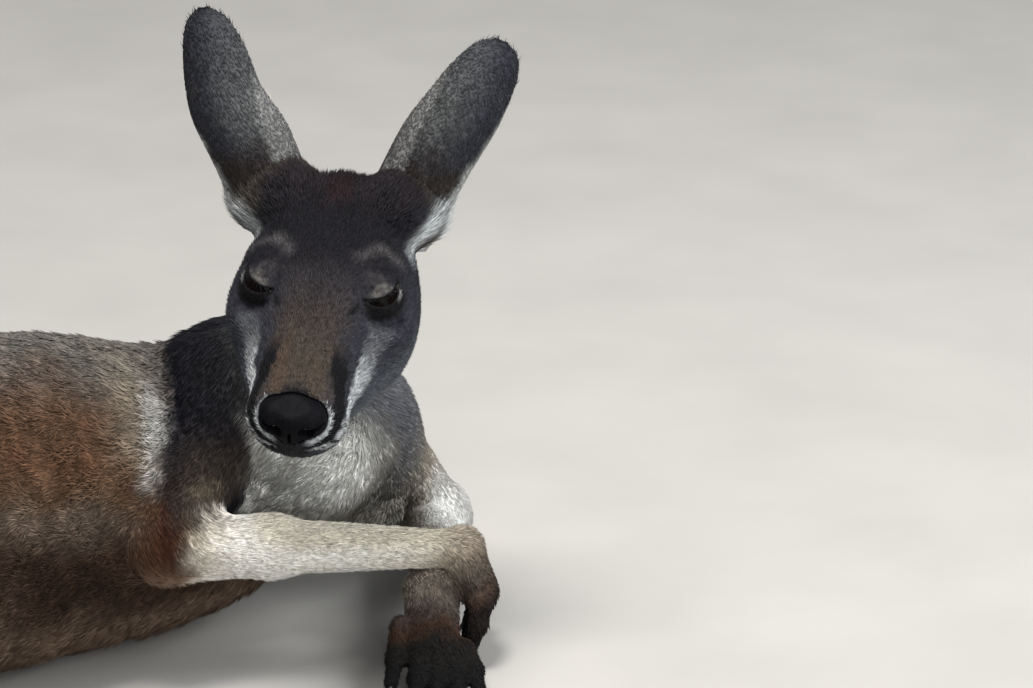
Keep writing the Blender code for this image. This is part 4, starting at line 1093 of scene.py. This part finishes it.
def ear_patch(side):
    """The ear's two faces as one thin leaf, with the lie of its coat and its colours."""
    shape = EARS[side]
    line = smooth_line(shape["line"], EAR_ROWS)
    step = np.gradient(line, axis=0)
    shares = np.linspace(0, 1, EAR_ROWS)
    half = shape["half"] * np.interp(shares, *zip(*EAR_PROFILE)) - EAR_INSET
    half = np.convolve(np.pad(half, 2, mode="edge"), np.ones(5) / 5, mode="valid")
    half[-3:] = np.maximum(half[-1], 0.0012) + (half[-3:] - half[-1]) * (0.9, 0.6, 0.0)
    wrap = np.radians(np.interp(shares, *zip(*EAR_WRAP)))
    faces_of, swings, tall, flows, bearing = [[], []], [], [], [], []
    for share, middle, direction, width, angle in zip(shares, line, step, half, wrap):
        along = unit(direction)
        back = unit(vector((0, -1, 0.15)) - (vector((0, -1, 0.15)) @ along) * along)
        across = np.cross(along, back)
        turn = shape["turn"]
        back, across = (back * math.cos(turn) + across * math.sin(turn),
                        across * math.cos(turn) - back * math.sin(turn))
        radius = width / math.sin(min(angle, math.pi / 2))
        axis = middle - back * (radius * math.cos(min(angle, math.pi / 2)) + EAR_INSET)
        wall = min(EAR_SKIN, width * 0.45)
        for column in range(EAR_COLUMNS):
            swing = 2 * column / (EAR_COLUMNS - 1) - 1
            ray = across * math.sin(angle * swing) + back * math.cos(angle * swing)
            thin = wall * (1 - 0.5 * abs(swing) ** 4)
            faces_of[0].append(axis + ray * radius)
            faces_of[1].append(axis + ray * (radius - thin))
            swings.append(swing)
            tall.append(share)
            bearing.append(math.degrees(angle * swing))
            flows.append(along)
    count = len(swings)
    points = np.array(faces_of[0] + faces_of[1])
    quads = []
    for row in range(EAR_ROWS - 1):
        for column in range(EAR_COLUMNS - 1):
            a = row * EAR_COLUMNS + column
            ring = [a, a + 1, a + 1 + EAR_COLUMNS, a + EAR_COLUMNS]
            quads += [ring[::-1], [count + k for k in ring]]
        for column, flip in ((0, False), (EAR_COLUMNS - 1, True)):
            a, b = row * EAR_COLUMNS + column, (row + 1) * EAR_COLUMNS + column
            rim = [a, b, count + b, count + a]
            quads.append(rim if flip else rim[::-1])
    last = (EAR_ROWS - 1) * EAR_COLUMNS
    for column in range(EAR_COLUMNS - 1):
        a = last + column
        quads.append([a, a + 1, count + a + 1, count + a])
    swings, tall = np.tile(swings, 2), np.tile(tall, 2)
    outside = np.arange(2 * count) < count
    lateral = np.tile(bearing, 2) * (1 if side == "left" else -1)
    uneven = noise(points, 0.006, 30)
    colour = np.tile(vector((0.036, 0.038, 0.049)), (2 * count, 1))
    medial = smooth_step(20, -45, lateral + 18 * uneven) * smooth_step(0.2, 0.36, tall)
    paint(colour, (0.125, 0.128, 0.128), medial * np.interp(tall, (0.3, 0.55, 0.95), (1.0, 0.75, 0.25)))
    paint(colour, (0.07, 0.07, 0.075), smooth_step(0.2, 0.9, uneven) * 0.6)
    paint(colour, (0.04, 0.031, 0.027), smooth_step(0.34, 0.2, tall + 0.05 * uneven) * 0.9)
    paint(colour, (0.016, 0.016, 0.02), smooth_step(0.88, 0.98, tall) * 0.6)
    edge = np.interp(tall, (0.0, 0.12, 0.3, 0.5, 0.75), (30, 38, 50, 62, 86))
    fringe = smooth_step(edge - 12, edge + 10, lateral + 12 * uneven) * outside
    fringe *= np.interp(tall, (0.2, 0.7), (1.0, 0.35))
    paint(colour, (0.56, 0.58, 0.57), fringe)
    thin_edge = smooth_step(edge - 2, edge + 6, -lateral) * smooth_step(0.7, 0.45, tall) * outside
    paint(colour, (0.3, 0.3, 0.29), thin_edge * 0.7)
    middle = np.abs(swings)
    paint(colour, (0.3, 0.275, 0.255), ~outside * smooth_step(0.95, 0.3, tall)
          * smooth_step(0.2, 0.7, middle))
    paint(colour, (0.11, 0.085, 0.075), ~outside * smooth_step(0.7, 0.2, middle))
    values = np.tile(vector((EAR_INSET, 0.0058, 0.0007, 0.2, 55.0)), (2 * count, 1))
    values[:, 1] *= np.interp(tall, (0.72, 0.9, 1.0), (1.0, 0.5, 0.15))
    values[:, 1] += 0.0035 * fringe + 0.003 * (~outside) * smooth_step(0.4, 0.9, middle)
    values[:, 3] += 0.12 * fringe
    return points, np.array(quads), values, units(np.tile(flows, (2, 1))), colour, tall, swings


def vertex_normals(points, faces):
    normals = np.zeros_like(points)
    first = np.cross(points[faces[:, 2]] - points[faces[:, 0]], points[faces[:, 3]] - points[faces[:, 1]])
    for corner in range(4):
        np.add.at(normals, faces[:, corner], first)
    return units(normals)


# ---- Blender objects -------------------------------------------------------------------------
EYE_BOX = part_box("eye_left")
SHIFT = (vector(EYE_BOX[0]) + vector(EYE_BOX[1])) / 2 - on_head(*EYE_SEAT)
SHIFT[2] = 0


def add_mesh(name, points, faces, colours=None, uvs=None):
    """A mesh object from rows of points and equal-sided faces, with colours on points."""
    mesh = bpy.data.meshes.new(name)
    sides = faces.shape[1]
    mesh.vertices.add(len(points))
    mesh.vertices.foreach_set("co", (points + SHIFT).astype(np.float32).ravel())
    mesh.loops.add(faces.size)
    mesh.loops.foreach_set("vertex_index", faces.astype(np.int32).ravel())
    mesh.polygons.add(len(faces))
    mesh.polygons.foreach_set("loop_start", np.arange(0, faces.size, sides, dtype=np.int32))
    mesh.polygons.foreach_set("use_smooth", np.ones(len(faces), bool))
    if colours is not None:
        layer = mesh.color_attributes.new("Col", "FLOAT_COLOR", "POINT")
        rows = np.ones((len(points), 4), np.float32)
        rows[:, :3] = np.clip(colours, 0, 1)
        layer.data.foreach_set("color", rows.ravel())
    if uvs is not None:
        layer = mesh.uv_layers.new(name="OFBake")
        layer.data.foreach_set("uv", uvs.astype(np.float32).ravel())
    mesh.update()
    mesh.validate()
    thing = bpy.data.objects.new(name, mesh)
    bpy.context.scene.collection.objects.link(thing)
    return thing


GRAIN_DETAIL = 3.0


def finish_material(name, roughness, build):
    made = bpy.data.materials.new(name)
    made.use_nodes = True
    tree = made.node_tree
    shader = tree.nodes["Principled BSDF"]
    shader.inputs["Roughness"].default_value = roughness
    build(tree, shader)
    return made


def add_node(tree, kind, **values):
    node = tree.nodes.new(kind)
    for key, value in values.items():
        if hasattr(node, key):
            setattr(node, key, value)
        else:
            node.inputs[key.replace("_", " ").title()].default_value = value
    return node


def varied(tree, shader, colour_socket, scale, low, high):
    """Feeds the base colour with this colour times a fine noise between two brightnesses."""
    place = tree.nodes.new("ShaderNodeTexCoord")
    grain = add_node(tree, "ShaderNodeTexNoise", scale=scale, detail=GRAIN_DETAIL)
    reach = tree.nodes.new("ShaderNodeMapRange")
    reach.inputs["From Min"].default_value, reach.inputs["From Max"].default_value = 0.3, 0.7
    reach.inputs["To Min"].default_value, reach.inputs["To Max"].default_value = low, high
    times = tree.nodes.new("ShaderNodeMix")
    times.data_type, times.blend_type = "RGBA", "MULTIPLY"
    times.inputs["Factor"].default_value = 1.0
    link = tree.links.new
    link(place.outputs["Object"], grain.inputs["Vector"])
    link(grain.outputs["Fac"], reach.inputs["Value"])
    link(colour_socket, times.inputs["A"])
    link(reach.outputs["Result"], times.inputs["B"])
    link(times.outputs["Result"], shader.inputs["Base Color"])
    return grain


def bumped(tree, shader, height_socket, strength, distance):
    bump = tree.nodes.new("ShaderNodeBump")
    bump.inputs["Strength"].default_value = strength
    bump.inputs["Distance"].default_value = distance
    tree.links.new(height_socket, bump.inputs["Height"])
    tree.links.new(bump.outputs["Normal"], shader.inputs["Normal"])


def painted(tree):
    node = tree.nodes.new("ShaderNodeVertexColor")
    node.layer_name = "Col"
    return node.outputs["Color"]


def coat_finish(tree, shader):
    varied(tree, shader, painted(tree), 260.0, 0.80, 1.22)
    shader.inputs["Specular IOR Level"].default_value = 0.18


def skin_finish(tree, shader):
    grain = varied(tree, shader, painted(tree), 420.0, 0.45, 1.25)
    shader.inputs["Specular IOR Level"].default_value = 0.1
    bumped(tree, shader, grain.outputs["Fac"], 0.6, 0.0012)


def nose_finish(tree, shader):
    varied(tree, shader, painted(tree), 600.0, 0.7, 1.5)
    cells = add_node(tree, "ShaderNodeTexVoronoi", scale=1100.0)
    place = tree.nodes.new("ShaderNodeTexCoord")
    tree.links.new(place.outputs["Object"], cells.inputs["Vector"])
    bumped(tree, shader, cells.outputs["Distance"], 0.4, 0.0003)
    shader.inputs["Specular IOR Level"].default_value = 0.035


def eye_finish(tree, shader):
    varied(tree, shader, painted(tree), 900.0, 0.75, 1.3)
    shader.inputs["Specular IOR Level"].default_value = 0.03


def claw_finish(tree, shader):
    grain = varied(tree, shader, painted(tree), 500.0, 0.6, 1.4)
    bumped(tree, shader, grain.outputs["Fac"], 0.2, 0.0003)


def floor_finish(tree, shader):
    tone = tree.nodes.new("ShaderNodeRGB")
    tone.outputs[0].default_value = (0.40, 0.385, 0.36, 1)
    varied(tree, shader, tone.outputs[0], 9.0, 0.96, 1.04)


MATERIALS = { "coat": finish_material("coat", 0.62, coat_finish),
             "skin": finish_material("skin", 0.8, skin_finish),
             "nose": finish_material("nose_leather", 0.52, nose_finish),
             "eye": finish_material("eye_wet", 0.14, eye_finish),
             "claw": finish_material("claw_horn", 0.34, claw_finish),
             "floor": finish_material("floor", 0.9, floor_finish), }


def finished(thing, finish, nodes=()):
    thing.data.materials.append(MATERIALS[finish])
    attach(thing, "root")
    if nodes:
        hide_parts(*nodes)
    return thing


# ---- tufts -----------------------------------------------------------------------------------
# triangles of a straight tuft, with three corners at its foot and a tip, and of a bent one, with
# three more corners halfway
SPIKE = np.array(((0, 1, 3), (1, 2, 3), (2, 0, 3), (2, 1, 0)))
LOCK = np.array(((0, 1, 4), (0, 4, 3), (1, 2, 5), (1, 5, 4), (2, 0, 3), (2, 3, 5), (3, 4, 6), (4, 5, 6),
                 (5, 3, 6), (2, 1, 0)))
PATCH = 0.0015                      # half the size of a tuft's place on the unwrap
ROOT_SINK = 0.0005                  # how deep a tuft's foot sits in the skin
TUFT_FLOOR = 0.0007                 # lowest point of a tuft above the floor


def grow(name, rows, bent):
    """One piece of coat: a tuft at each row's root, lying along the flow."""
    root, normal, flow, values, colour, uv = (
        rows[key] for key in ("root", "normal", "flow", "values", "colour", "uv"))
    count = len(root)
    lie = units(flow - (flow * normal).sum(1)[:, None] * normal)
    swerve = (RANDOM.normal(0, 0.16 + 0.12 * rows["woolly"], count) + 0.55 * rows["woolly"]
              * noise(root, 0.008, 40))
    across = np.cross(normal, lie)
    lie, across = (lie * np.cos(swerve)[:, None] + across * np.sin(swerve)[:, None],
                   across * np.cos(swerve)[:, None] - lie * np.sin(swerve)[:, None])
    length = values[:, 1] * RANDOM.uniform(0.70, 1.15, count)
    width = values[:, 2] * RANDOM.uniform(0.75, 1.2, count)
    lift = (values[:, 3] * RANDOM.uniform(0.6, 1.35, count)
            * (1 + 0.5 * noise(root, 0.008, 41) * rows["woolly"]))
    clump = (np.stack([noise(root, 0.0075, seed) for seed in (42, 43, 44)], 1) * 0.0028
             * rows["woolly"][:, None])
    foot = root - normal * ROOT_SINK
    half, thick = (width / 2)[:, None], (width * 0.35)[:, None]
    rise, reach = np.sin(lift)[:, None], np.cos(lift)[:, None]
    size = length[:, None]
    tip = root + lie * size * reach + normal * size * rise * 0.85 + clump
    corners = [foot - across * half, foot + across * half, foot + normal * thick * 1.5 - lie * thick]
    # the foot of each tuft is darker than its colour, painted shade among the hairs; the tip has its own
    # brightness, painted light and grizzle
    shades = [colour * 0.72, colour * 0.72, colour * 0.80]
    offsets = [(-PATCH, -PATCH), (PATCH, -PATCH), (0.0, -PATCH)]
    bright = rows["tip"][:, None]
    if bent:
        middle = root + lie * size * reach * 0.5 + normal * size * rise * 0.62 + clump * 0.4
        corners += [middle - across * half * 0.8, middle + across * half * 0.8, middle + normal * thick]
        shades += [colour * 0.95, colour * 0.95, colour]
        offsets += [(-PATCH, 0.0), (PATCH, 0.0), (0.0, 0.0)]
    corners.append(tip)
    shades.append(colour * bright)
    offsets.append((0.0, PATCH))
    points = np.stack(corners, 1).reshape(-1, 3)
    points[:, 2] = np.maximum(points[:, 2], TUFT_FLOOR)
    sides = LOCK if bent else SPIKE
    per = len(corners)
    faces = (np.arange(count)[:, None, None] * per + sides[None]).reshape(-1, 3)
    spread = np.array(offsets)
    uvs = (uv[:, None, None] + spread[sides][None]).reshape(-1, 2)
    return add_mesh(name, points, faces, np.stack(shades, 1).reshape(-1, 3), np.clip(uvs, 0, 1))


# ---- build the skin --------------------------------------------------------------------------
def skin_pieces():
    """Each patch, then each ear: points, faces, coat values, lie, colour, region, place on the ear."""
    for place, quads in skin_patches():
        yield place, quads, *describe(place), np.zeros((len(place), 2))
    for number, side in enumerate(("left", "right"), len(REGIONS)):
        place, quads, depth, lie, shade, share, swing = ear_patch(side)
        yield place, quads, depth, lie, shade, np.full(len(place), number), np.stack((share, swing), 1)


def build_skin():
    """Joins the pieces in one mesh; returns it with what the coat grows from."""
    keys = ("points", "faces", "values", "flow", "colour", "region", "ear")
    rows = {key: [] for key in keys}
    start = 0
    for piece in skin_pieces():
        for key, part in zip(keys, piece):
            rows[key].append(part + start if key == "faces" else part)
        start += len(piece[0])
    rows = {key: np.concatenate(parts) for key, parts in rows.items()}
    rows["normals"] = vertex_normals(rows["points"], rows["faces"])
    return rows


def scatter(skin, share):
    """Random roots on the skin, as many to the square metre as each place's coat asks for."""
    triangles = np.concatenate([skin["faces"][:, [0, 1, 2]], skin["faces"][:, [0, 2, 3]]])
    corners = skin["points"][triangles]
    area = np.linalg.norm(np.cross(corners[:, 1] - corners[:, 0], corners[:, 2] - corners[:, 0]), axis=1) / 2
    middle = corners.mean(1)
    density = skin["values"][triangles, 4].mean(1) * 1e4
    region = skin["region"][triangles[:, 0]]
    facing = skin["normals"][triangles[:, 0]]
    seen = smooth_step(*VIEW_FADE, facing @ TOWARDS_VIEW)
    plain = np.isin(region, [REGIONS.index(name) for name in ("trunk", "neck")])
    density *= np.where(plain, 0.24 + 0.76 * seen * smooth_step(*FRONT_FADE, middle[:, 0]), 1.0)
    under = (middle[:, 2] < 0.005) & (facing[:, 2] < -0.5)
    expected = np.where(under, 0, area * density * share)
    counts = RANDOM.poisson(expected)
    chosen = np.repeat(np.arange(len(triangles)), counts)
    one, two = RANDOM.random(len(chosen)), RANDOM.random(len(chosen))
    over = one + two > 1
    one[over], two[over] = 1 - one[over], 1 - two[over]
    weights = np.stack((1 - one - two, one, two), 1)[:, :, None]

    def mixed(key):
        return (skin[key][triangles[chosen]] * weights).sum(1)
    return {"root": mixed("points"), "normal": units(mixed("normals")), "flow": mixed("flow"),
            "values": mixed("values"), "colour": mixed("colour"), "region": region[chosen],
            "ear": mixed("ear")}


def grizzle(roots):
    """Brightness at the tip of each tuft, and how woolly the coat is there."""
    count = len(roots["root"])
    names = np.array(REGIONS + ["ear_left", "ear_right"])[roots["region"]]
    woolly = np.isin(names, ("trunk", "haunch")) * 0.8 + np.isin(names, ("neck",)) * 0.5
    woolly += np.char.startswith(names, "leg") * 0.5 + np.char.startswith(names, "tail") * 0.4
    # every tip is lighter than the rest of its tuft, painted light for depth; the pepper adds grizzled
    # lighter and darker tips
    tip = RANDOM.uniform(1.0, 1.35, count)
    pepper = np.char.startswith(names, "hand") * 0.7 + np.isin(names, ("head", "trunk")) * 0.3
    bright = RANDOM.random(count)
    tip = tip * np.where(bright > 0.70, 1 + pepper, np.where(bright < 0.25, 1 - 0.8 * pepper, 1.0))
    roots["tip"], roots["woolly"] = tip, woolly
    mottled = 1 + woolly * (0.42 * noise(roots["root"], 0.0045, 50) + 0.26 * noise(roots["root"], 0.013, 51))
    contrast = np.where(names == "head", 0.48, 0.30)
    roots["colour"] = roots["colour"] * ((1 + contrast * RANDOM.uniform(-1, 1, count)) * mottled)[:, None]
    facing = roots["normal"] @ TOWARDS_VIEW
    hidden = 1 - smooth_step(*VIEW_FADE, facing) * smooth_step(*FRONT_FADE, roots["root"][:, 0])
    hidden = np.where(np.isin(names, ("trunk", "neck")), hidden, 0)
    roots["values"][:, 1] *= 1 + 0.30 * hidden
    roots["values"][:, 2] *= 1 + 0.75 * hidden
    return names


def place_on_unwrap(names, roots):
    """Each root's place on an unwrap of its own part of the body, inside the unit square."""
    uv = np.zeros((len(names), 2))
    for name in np.unique(names):
        rows = names == name
        if name.startswith("ear"):
            uv[rows] = roots["ear"][rows] * (1, 0.5) + (0, 0.5)
            inner = (roots["normal"][rows] * vector((0, -1, 0))).sum(1) < 0
            uv[rows, 0] = np.where(inner, uv[rows, 0] * 0.48 + 0.51, uv[rows, 0] * 0.48 + 0.01)
        else:
            share, turn = around(REGION_CORES[name], roots["root"][rows])
            uv[rows] = np.stack((turn / (2 * math.pi) + 0.5, share), 1)
    return 0.003 + 0.994 * uv


def coat_name(name, root):
    """The coat piece that a root in this region belongs to."""
    side = np.where(in_head(root)[:, 1] > 0, "left", "right")
    if name == "head":
        return np.char.add("coat_face_", side)
    if name in ("trunk", "haunch"):
        share, _ = around(TRUNK, root)
        back = root[:, 1] > np.interp(share, np.linspace(0, 1, len(TRUNK.line)), TRUNK.line[:, 1])
        where = np.where(share < 0.30, "coat_shoulders", np.where(share < 0.62, "coat_flank", "coat_rump"))
        return np.char.add(where, np.where(back, "_back", "_front"))
    return np.full(len(root), "coat_" + name)


LID_BARE = 0.0165                   # no hair nearer than this to the eye's middle, in the opening
NOSE_BARE = 0.0012                  # nor this near to the nose pad
BENT = ("coat_flank_back", "coat_rump", "coat_shoulders_back")     # pieces of longer, bent tufts


def build_coat(skin):
    """Grows every piece of coat from random roots, none of them in the eyes or on the nose pad."""
    roots = scatter(skin, 1.0)
    away = np.ones(len(roots["root"]), bool)
    for sign in (-1, 1):
        distance, swing, rise = eye_angles(roots["root"], sign)
        upper, lower = lid_edges(swing)
        bare = ((distance < LID_BARE) & (rise < upper + 0.05) & (rise > lower - 0.06)
                & (np.abs(swing) < LID_REACH + 0.05))
        away &= ~bare
    away &= ~((nose_field(roots["root"]) < NOSE_BARE)
              & (np.linalg.norm(roots["root"] - on_head(*NOSE_SEAT), axis=1) < NOSE_NEIGHBOURHOOD))
    roots = {key: rows[away] for key, rows in roots.items()}
    for sign in (-1, 1):
        distance = np.linalg.norm(roots["root"] - eye_frame(sign)[0], axis=1)
        roots["values"][:, 1:3] *= (0.60 + 0.40 * smooth_step(0.016, 0.030, distance))[:, None]
    forward = in_head(roots["root"])[:, 0]
    on_face = roots["region"] == REGIONS.index("head")
    longer = np.interp(forward, (0.0, 0.05, 0.13, 0.18), (2.0, 1.15, 0.85, 0.65))
    roots["values"][:, 1] *= np.where(on_face, longer, 1.0)
    throat = stroke(roots["root"], (-0.150, -0.530, 0.125), (-0.085, -0.520, 0.122), 0.028, 0.02)
    roots["values"][:, 1] *= 1 + 0.35 * throat
    names = grizzle(roots)
    roots["uv"] = place_on_unwrap(names, roots)
    pieces = np.empty(len(names), dtype="U40")
    for name in np.unique(names):
        rows = names == name
        pieces[rows] = coat_name(str(name), roots["root"][rows])
    for piece in np.unique(pieces):
        rows = pieces == piece
        chosen = {key: part[rows] for key, part in roots.items()}
        bent = piece.startswith(BENT)
        thing = grow(str(piece), chosen, bent)
        finished(thing, "coat")


# ---- eyes, nose, claws, whiskers -------------------------------------------------------------
BALL_RINGS, BALL_SEGMENTS = 40, 56
NOSE_STEP, NOSE_REACH = 0.0007, 0.024
WHISKERS, LASHES = 11, 22           # on each side
WHISKER_RADIUS, LASH_RADIUS = 0.00013, 0.00010


def ball(name, centre, radius, axes):
    """An eyeball of triangles with its pole along the first axis, where the cornea bulges."""
    rings, segments = BALL_RINGS, BALL_SEGMENTS
    polar = np.linspace(0, math.pi, rings + 1)[1:-1]
    turn = np.linspace(0, 2 * math.pi, segments, endpoint=False)
    grid = np.stack(np.broadcast_arrays(np.cos(polar)[:, None], np.sin(polar)[:, None] * np.cos(turn),
                                        np.sin(polar)[:, None] * np.sin(turn)), -1).reshape(-1, 3)
    local = np.concatenate((((1, 0, 0),), grid, ((-1, 0, 0),)))
    faces = []
    for k in range(segments):
        after = (k + 1) % segments
        faces.append((0, 1 + k, 1 + after))
        for ring in range(rings - 2):
            a, b = 1 + ring * segments, 1 + (ring + 1) * segments
            faces += [(a + k, b + k, b + after), (a + k, b + after, a + after)]
        base = 1 + (rings - 2) * segments
        faces.append((base + k, len(local) - 1, base + after))
    bulge = 1 + 0.05 * smooth_step(0.80, 0.95, local[:, 0])
    angle = np.degrees(np.arccos(np.clip(local[:, 0], -1, 1)))
    colour = ramp(angle, (0, 0.002, 0.002, 0.002), (27, 0.002, 0.002, 0.002),
                  (31, 0.0035, 0.0022, 0.0018), (50, 0.0030, 0.0020, 0.0016),
                  (60, 0.002, 0.0015, 0.0015), (180, 0.003, 0.0025, 0.002))
    return add_mesh(name, centre + (local * bulge[:, None] * radius) @ axes, np.array(faces), colour)


def spike(root, along, down, length, radius, bend, sides=10, rings=8, narrow=0.8):
    """A curved tapering spike, as points and triangles."""
    along = unit(along)
    down = unit(vector(down) - (vector(down) @ along) * along)
    across = np.cross(along, down)
    angle = np.linspace(0, 2 * math.pi, sides, endpoint=False)
    rings_of = []
    for share in np.linspace(0, 1, rings, endpoint=False):
        middle = root + along * length * share + down * length * bend * share ** 2
        size = radius * (1 - 0.88 * share ** 1.6)
        rings_of.append(middle + size * (np.cos(angle)[:, None] * across * narrow
                                         + np.sin(angle)[:, None] * down))
    points = np.concatenate(rings_of + [[root + along * length + down * length * bend], [root]])
    tip, base = len(points) - 2, len(points) - 1
    faces = []
    for k in range(sides):
        after = (k + 1) % sides
        for ring in range(rings - 1):
            a, b = ring * sides, (ring + 1) * sides
            faces += [(a + k, a + after, b + after), (a + k, b + after, b + k)]
        faces += [((rings - 1) * sides + k, (rings - 1) * sides + after, tip), (after, k, base)]
    return points, np.array(faces)


def build_nose():
    middle = on_head(*NOSE_SEAT)
    low, high = middle - NOSE_REACH, middle + NOSE_REACH
    points, quads = surface_nets(sample(nose_field, low, high, NOSE_STEP), low, NOSE_STEP)
    points = settle_on(nose_field, points, NOSE_STEP)
    colour = np.tile(vector((0.003, 0.003, 0.004)), (len(points), 1))
    thing = add_mesh("nose_pad", points, quads, colour)
    finished(thing, "nose", ("nose",))


def build_claws():
    for side in ARMS:
        down = (0, 0, -1) if side == "left" else (-1, 0, 0)
        for name, _, middle, tip in finger_points(side):
            along = unit(tip - middle)
            points, faces = spike(tip - along * FINGER_CLAW_ROOT, along, down, *FINGER_CLAW, CLAW_BEND)
            add_claw("claw_{}_{}".format(name, side), points, faces)
        forward, across = foot_axes(side)
        toe = vector(LEGS[side]["toe"])
        for name, _, (back, out), _, radius, length in TOES:
            root = (toe - forward * (back + TOE_CLAW_ROOT - radius * 0.7) + across * out
                    + (0, 0, radius * 0.25))
            points, faces = spike(root, forward, (0, 0, -1), length, radius * 0.52, CLAW_BEND)
            add_claw("toe_claw_{}_{}".format(name, side), points, faces)


def add_claw(node, points, faces):
    points[:, 2] = np.maximum(points[:, 2], CLAW_FLOOR)
    share = np.linspace(1, 0.5, len(points))[:, None]
    thing = add_mesh("horn_" + node, points, faces, vector((0.022, 0.019, 0.017)) * share)
    finished(thing, "claw", (node,))


def build_hairs():
    """Whiskers on the muzzle and lashes on the upper lids."""
    points, faces, start = [], [], 0
    roots = []
    for sign in (-1, 1):
        for number in range(WHISKERS):
            row, column = divmod(number, 4)
            place = on_head(0.166 - 0.008 * column, sign * (0.0235 + 0.0015 * column), -0.026 - 0.0055 * row)
            aim = -0.35 * HEAD_AXES[0] + sign * HEAD_AXES[1] - (0.25 + 0.2 * row) * HEAD_AXES[2]
            roots.append((place, aim + 0.15 * RANDOM.normal(0, 1, 3), -HEAD_AXES[2],
                          RANDOM.uniform(0.018, 0.034), WHISKER_RADIUS))
        centre, axes = eye_frame(sign)
        for number in range(LASHES):
            swing = (number / (LASHES - 1) * 1.7 - 0.85) * LID_REACH
            rise = lid_edges(swing)[0] + 0.04
            local = vector((math.cos(rise) * math.cos(swing), math.cos(rise) * math.sin(swing),
                            math.sin(rise)))
            ray = local @ axes
            aim = ray - 0.35 * axes[2] + axes[1] * (0.5 * math.sin(swing)) + 0.08 * RANDOM.normal(0, 1, 3)
            roots.append((centre + ray * 0.0135, aim, -axes[2], RANDOM.uniform(0.0035, 0.0055),
                          LASH_RADIUS))
    for place, aim, down, length, radius in roots:
        tube, sides = spike(place, aim, down, length, radius, 0.25, 4, 5, 1.0)
        points.append(tube)
        faces.append(sides + start)
        start += len(tube)
    points = np.concatenate(points)
    colour = np.tile(vector((0.010, 0.009, 0.009)), (len(points), 1))
    finished(add_mesh("whiskers_and_lashes", points, np.concatenate(faces), colour), "claw")


skin_rows = build_skin()
flesh = [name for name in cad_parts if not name.startswith(("eye", "nose", "claw", "toe_claw"))]
skin_thing = add_mesh("skin", skin_rows["points"], skin_rows["faces"], skin_rows["colour"] * 0.8)
finished(skin_thing, "skin", flesh)
build_coat(skin_rows)
for name, sign in (("left", 1), ("right", -1)):
    middle, axes = eye_frame(sign)
    finished(ball("eyeball_" + name, middle, EYE_RADIUS, axes), "eye", ("eye_" + name,))
build_nose()
build_claws()
build_hairs()


# ---- stage, light, camera --------------------------------------------------------------------
LOOK_DOWN = math.radians(20)
LOOK_FROM, LOOK_AT = 2.6, vector((0, -0.52, 0.189))
VIEW_WIDTH = 0.6043            # how much of the plane through LOOK_AT the picture is wide

GROUND_REACH = 9.0
SKY_COLOUR, SKY_STRENGTH = (0.80, 0.84, 0.90, 1), 0.35
LIGHTS = (
    # name, place, what it looks at, diameter, power, colour
    ("key", (-0.5, -0.9, 2.9), (-0.2, -0.55, 0.1), 1.2, 105.0, (1.0, 0.98, 0.95)),
    ("side", (1.6, -0.9, 1.7), (-0.1, -0.5, 0.10), 1.4, 38.0, (0.95, 0.98, 1.0)),
    ("fill", (0.7, -2.6, 0.9), (-0.2, -0.5, 0.12), 1.8, 30.0, (1, 1, 1)),
)
GROUND_CORNERS = np.array(((-1, -1, 0), (1, -1, 0), (1, 1, 0), (-1, 1, 0))) * GROUND_REACH

ground = add_mesh("ground", GROUND_CORNERS, np.array([[0, 1, 2, 3]]))
ground.data.materials.append(MATERIALS["floor"])


def area_light(name, place, target, size, power, colour):
    lamp = bpy.data.lights.new(name, "AREA")
    lamp.shape, lamp.size, lamp.energy, lamp.color = "DISK", size, power, colour
    thing = bpy.data.objects.new(name, lamp)
    bpy.context.scene.collection.objects.link(thing)
    place, target = vector(place) + SHIFT, vector(target) + SHIFT
    aim(thing, place, target)


def aim(thing, place, target):
    """Puts a light or camera at a place, looking at a target, level with the floor."""
    back = unit(place - target)
    right = unit(np.cross((0, 0, 1), back))
    up = np.cross(back, right)
    rows = np.eye(4)
    rows[:3, 0], rows[:3, 1], rows[:3, 2], rows[:3, 3] = right, up, back, place
    thing.matrix_world = [list(column) for column in rows.T]


for light in LIGHTS:
    area_light(*light)
world = bpy.data.worlds.new("studio")
world.use_nodes = True
world.node_tree.nodes["Background"].inputs["Color"].default_value = SKY_COLOUR
world.node_tree.nodes["Background"].inputs["Strength"].default_value = SKY_STRENGTH
bpy.context.scene.world = world

lens = bpy.data.cameras.new("camera")
lens.sensor_width = 36.0
lens.lens = lens.sensor_width * LOOK_FROM / VIEW_WIDTH
camera = bpy.data.objects.new("camera", lens)
bpy.context.scene.collection.objects.link(camera)
away = vector((0, -math.cos(LOOK_DOWN), math.sin(LOOK_DOWN))) * LOOK_FROM
aim(camera, LOOK_AT + away + SHIFT, LOOK_AT + SHIFT)
bpy.context.scene.camera = camera
bpy.context.scene.view_settings.view_transform = "Standard"
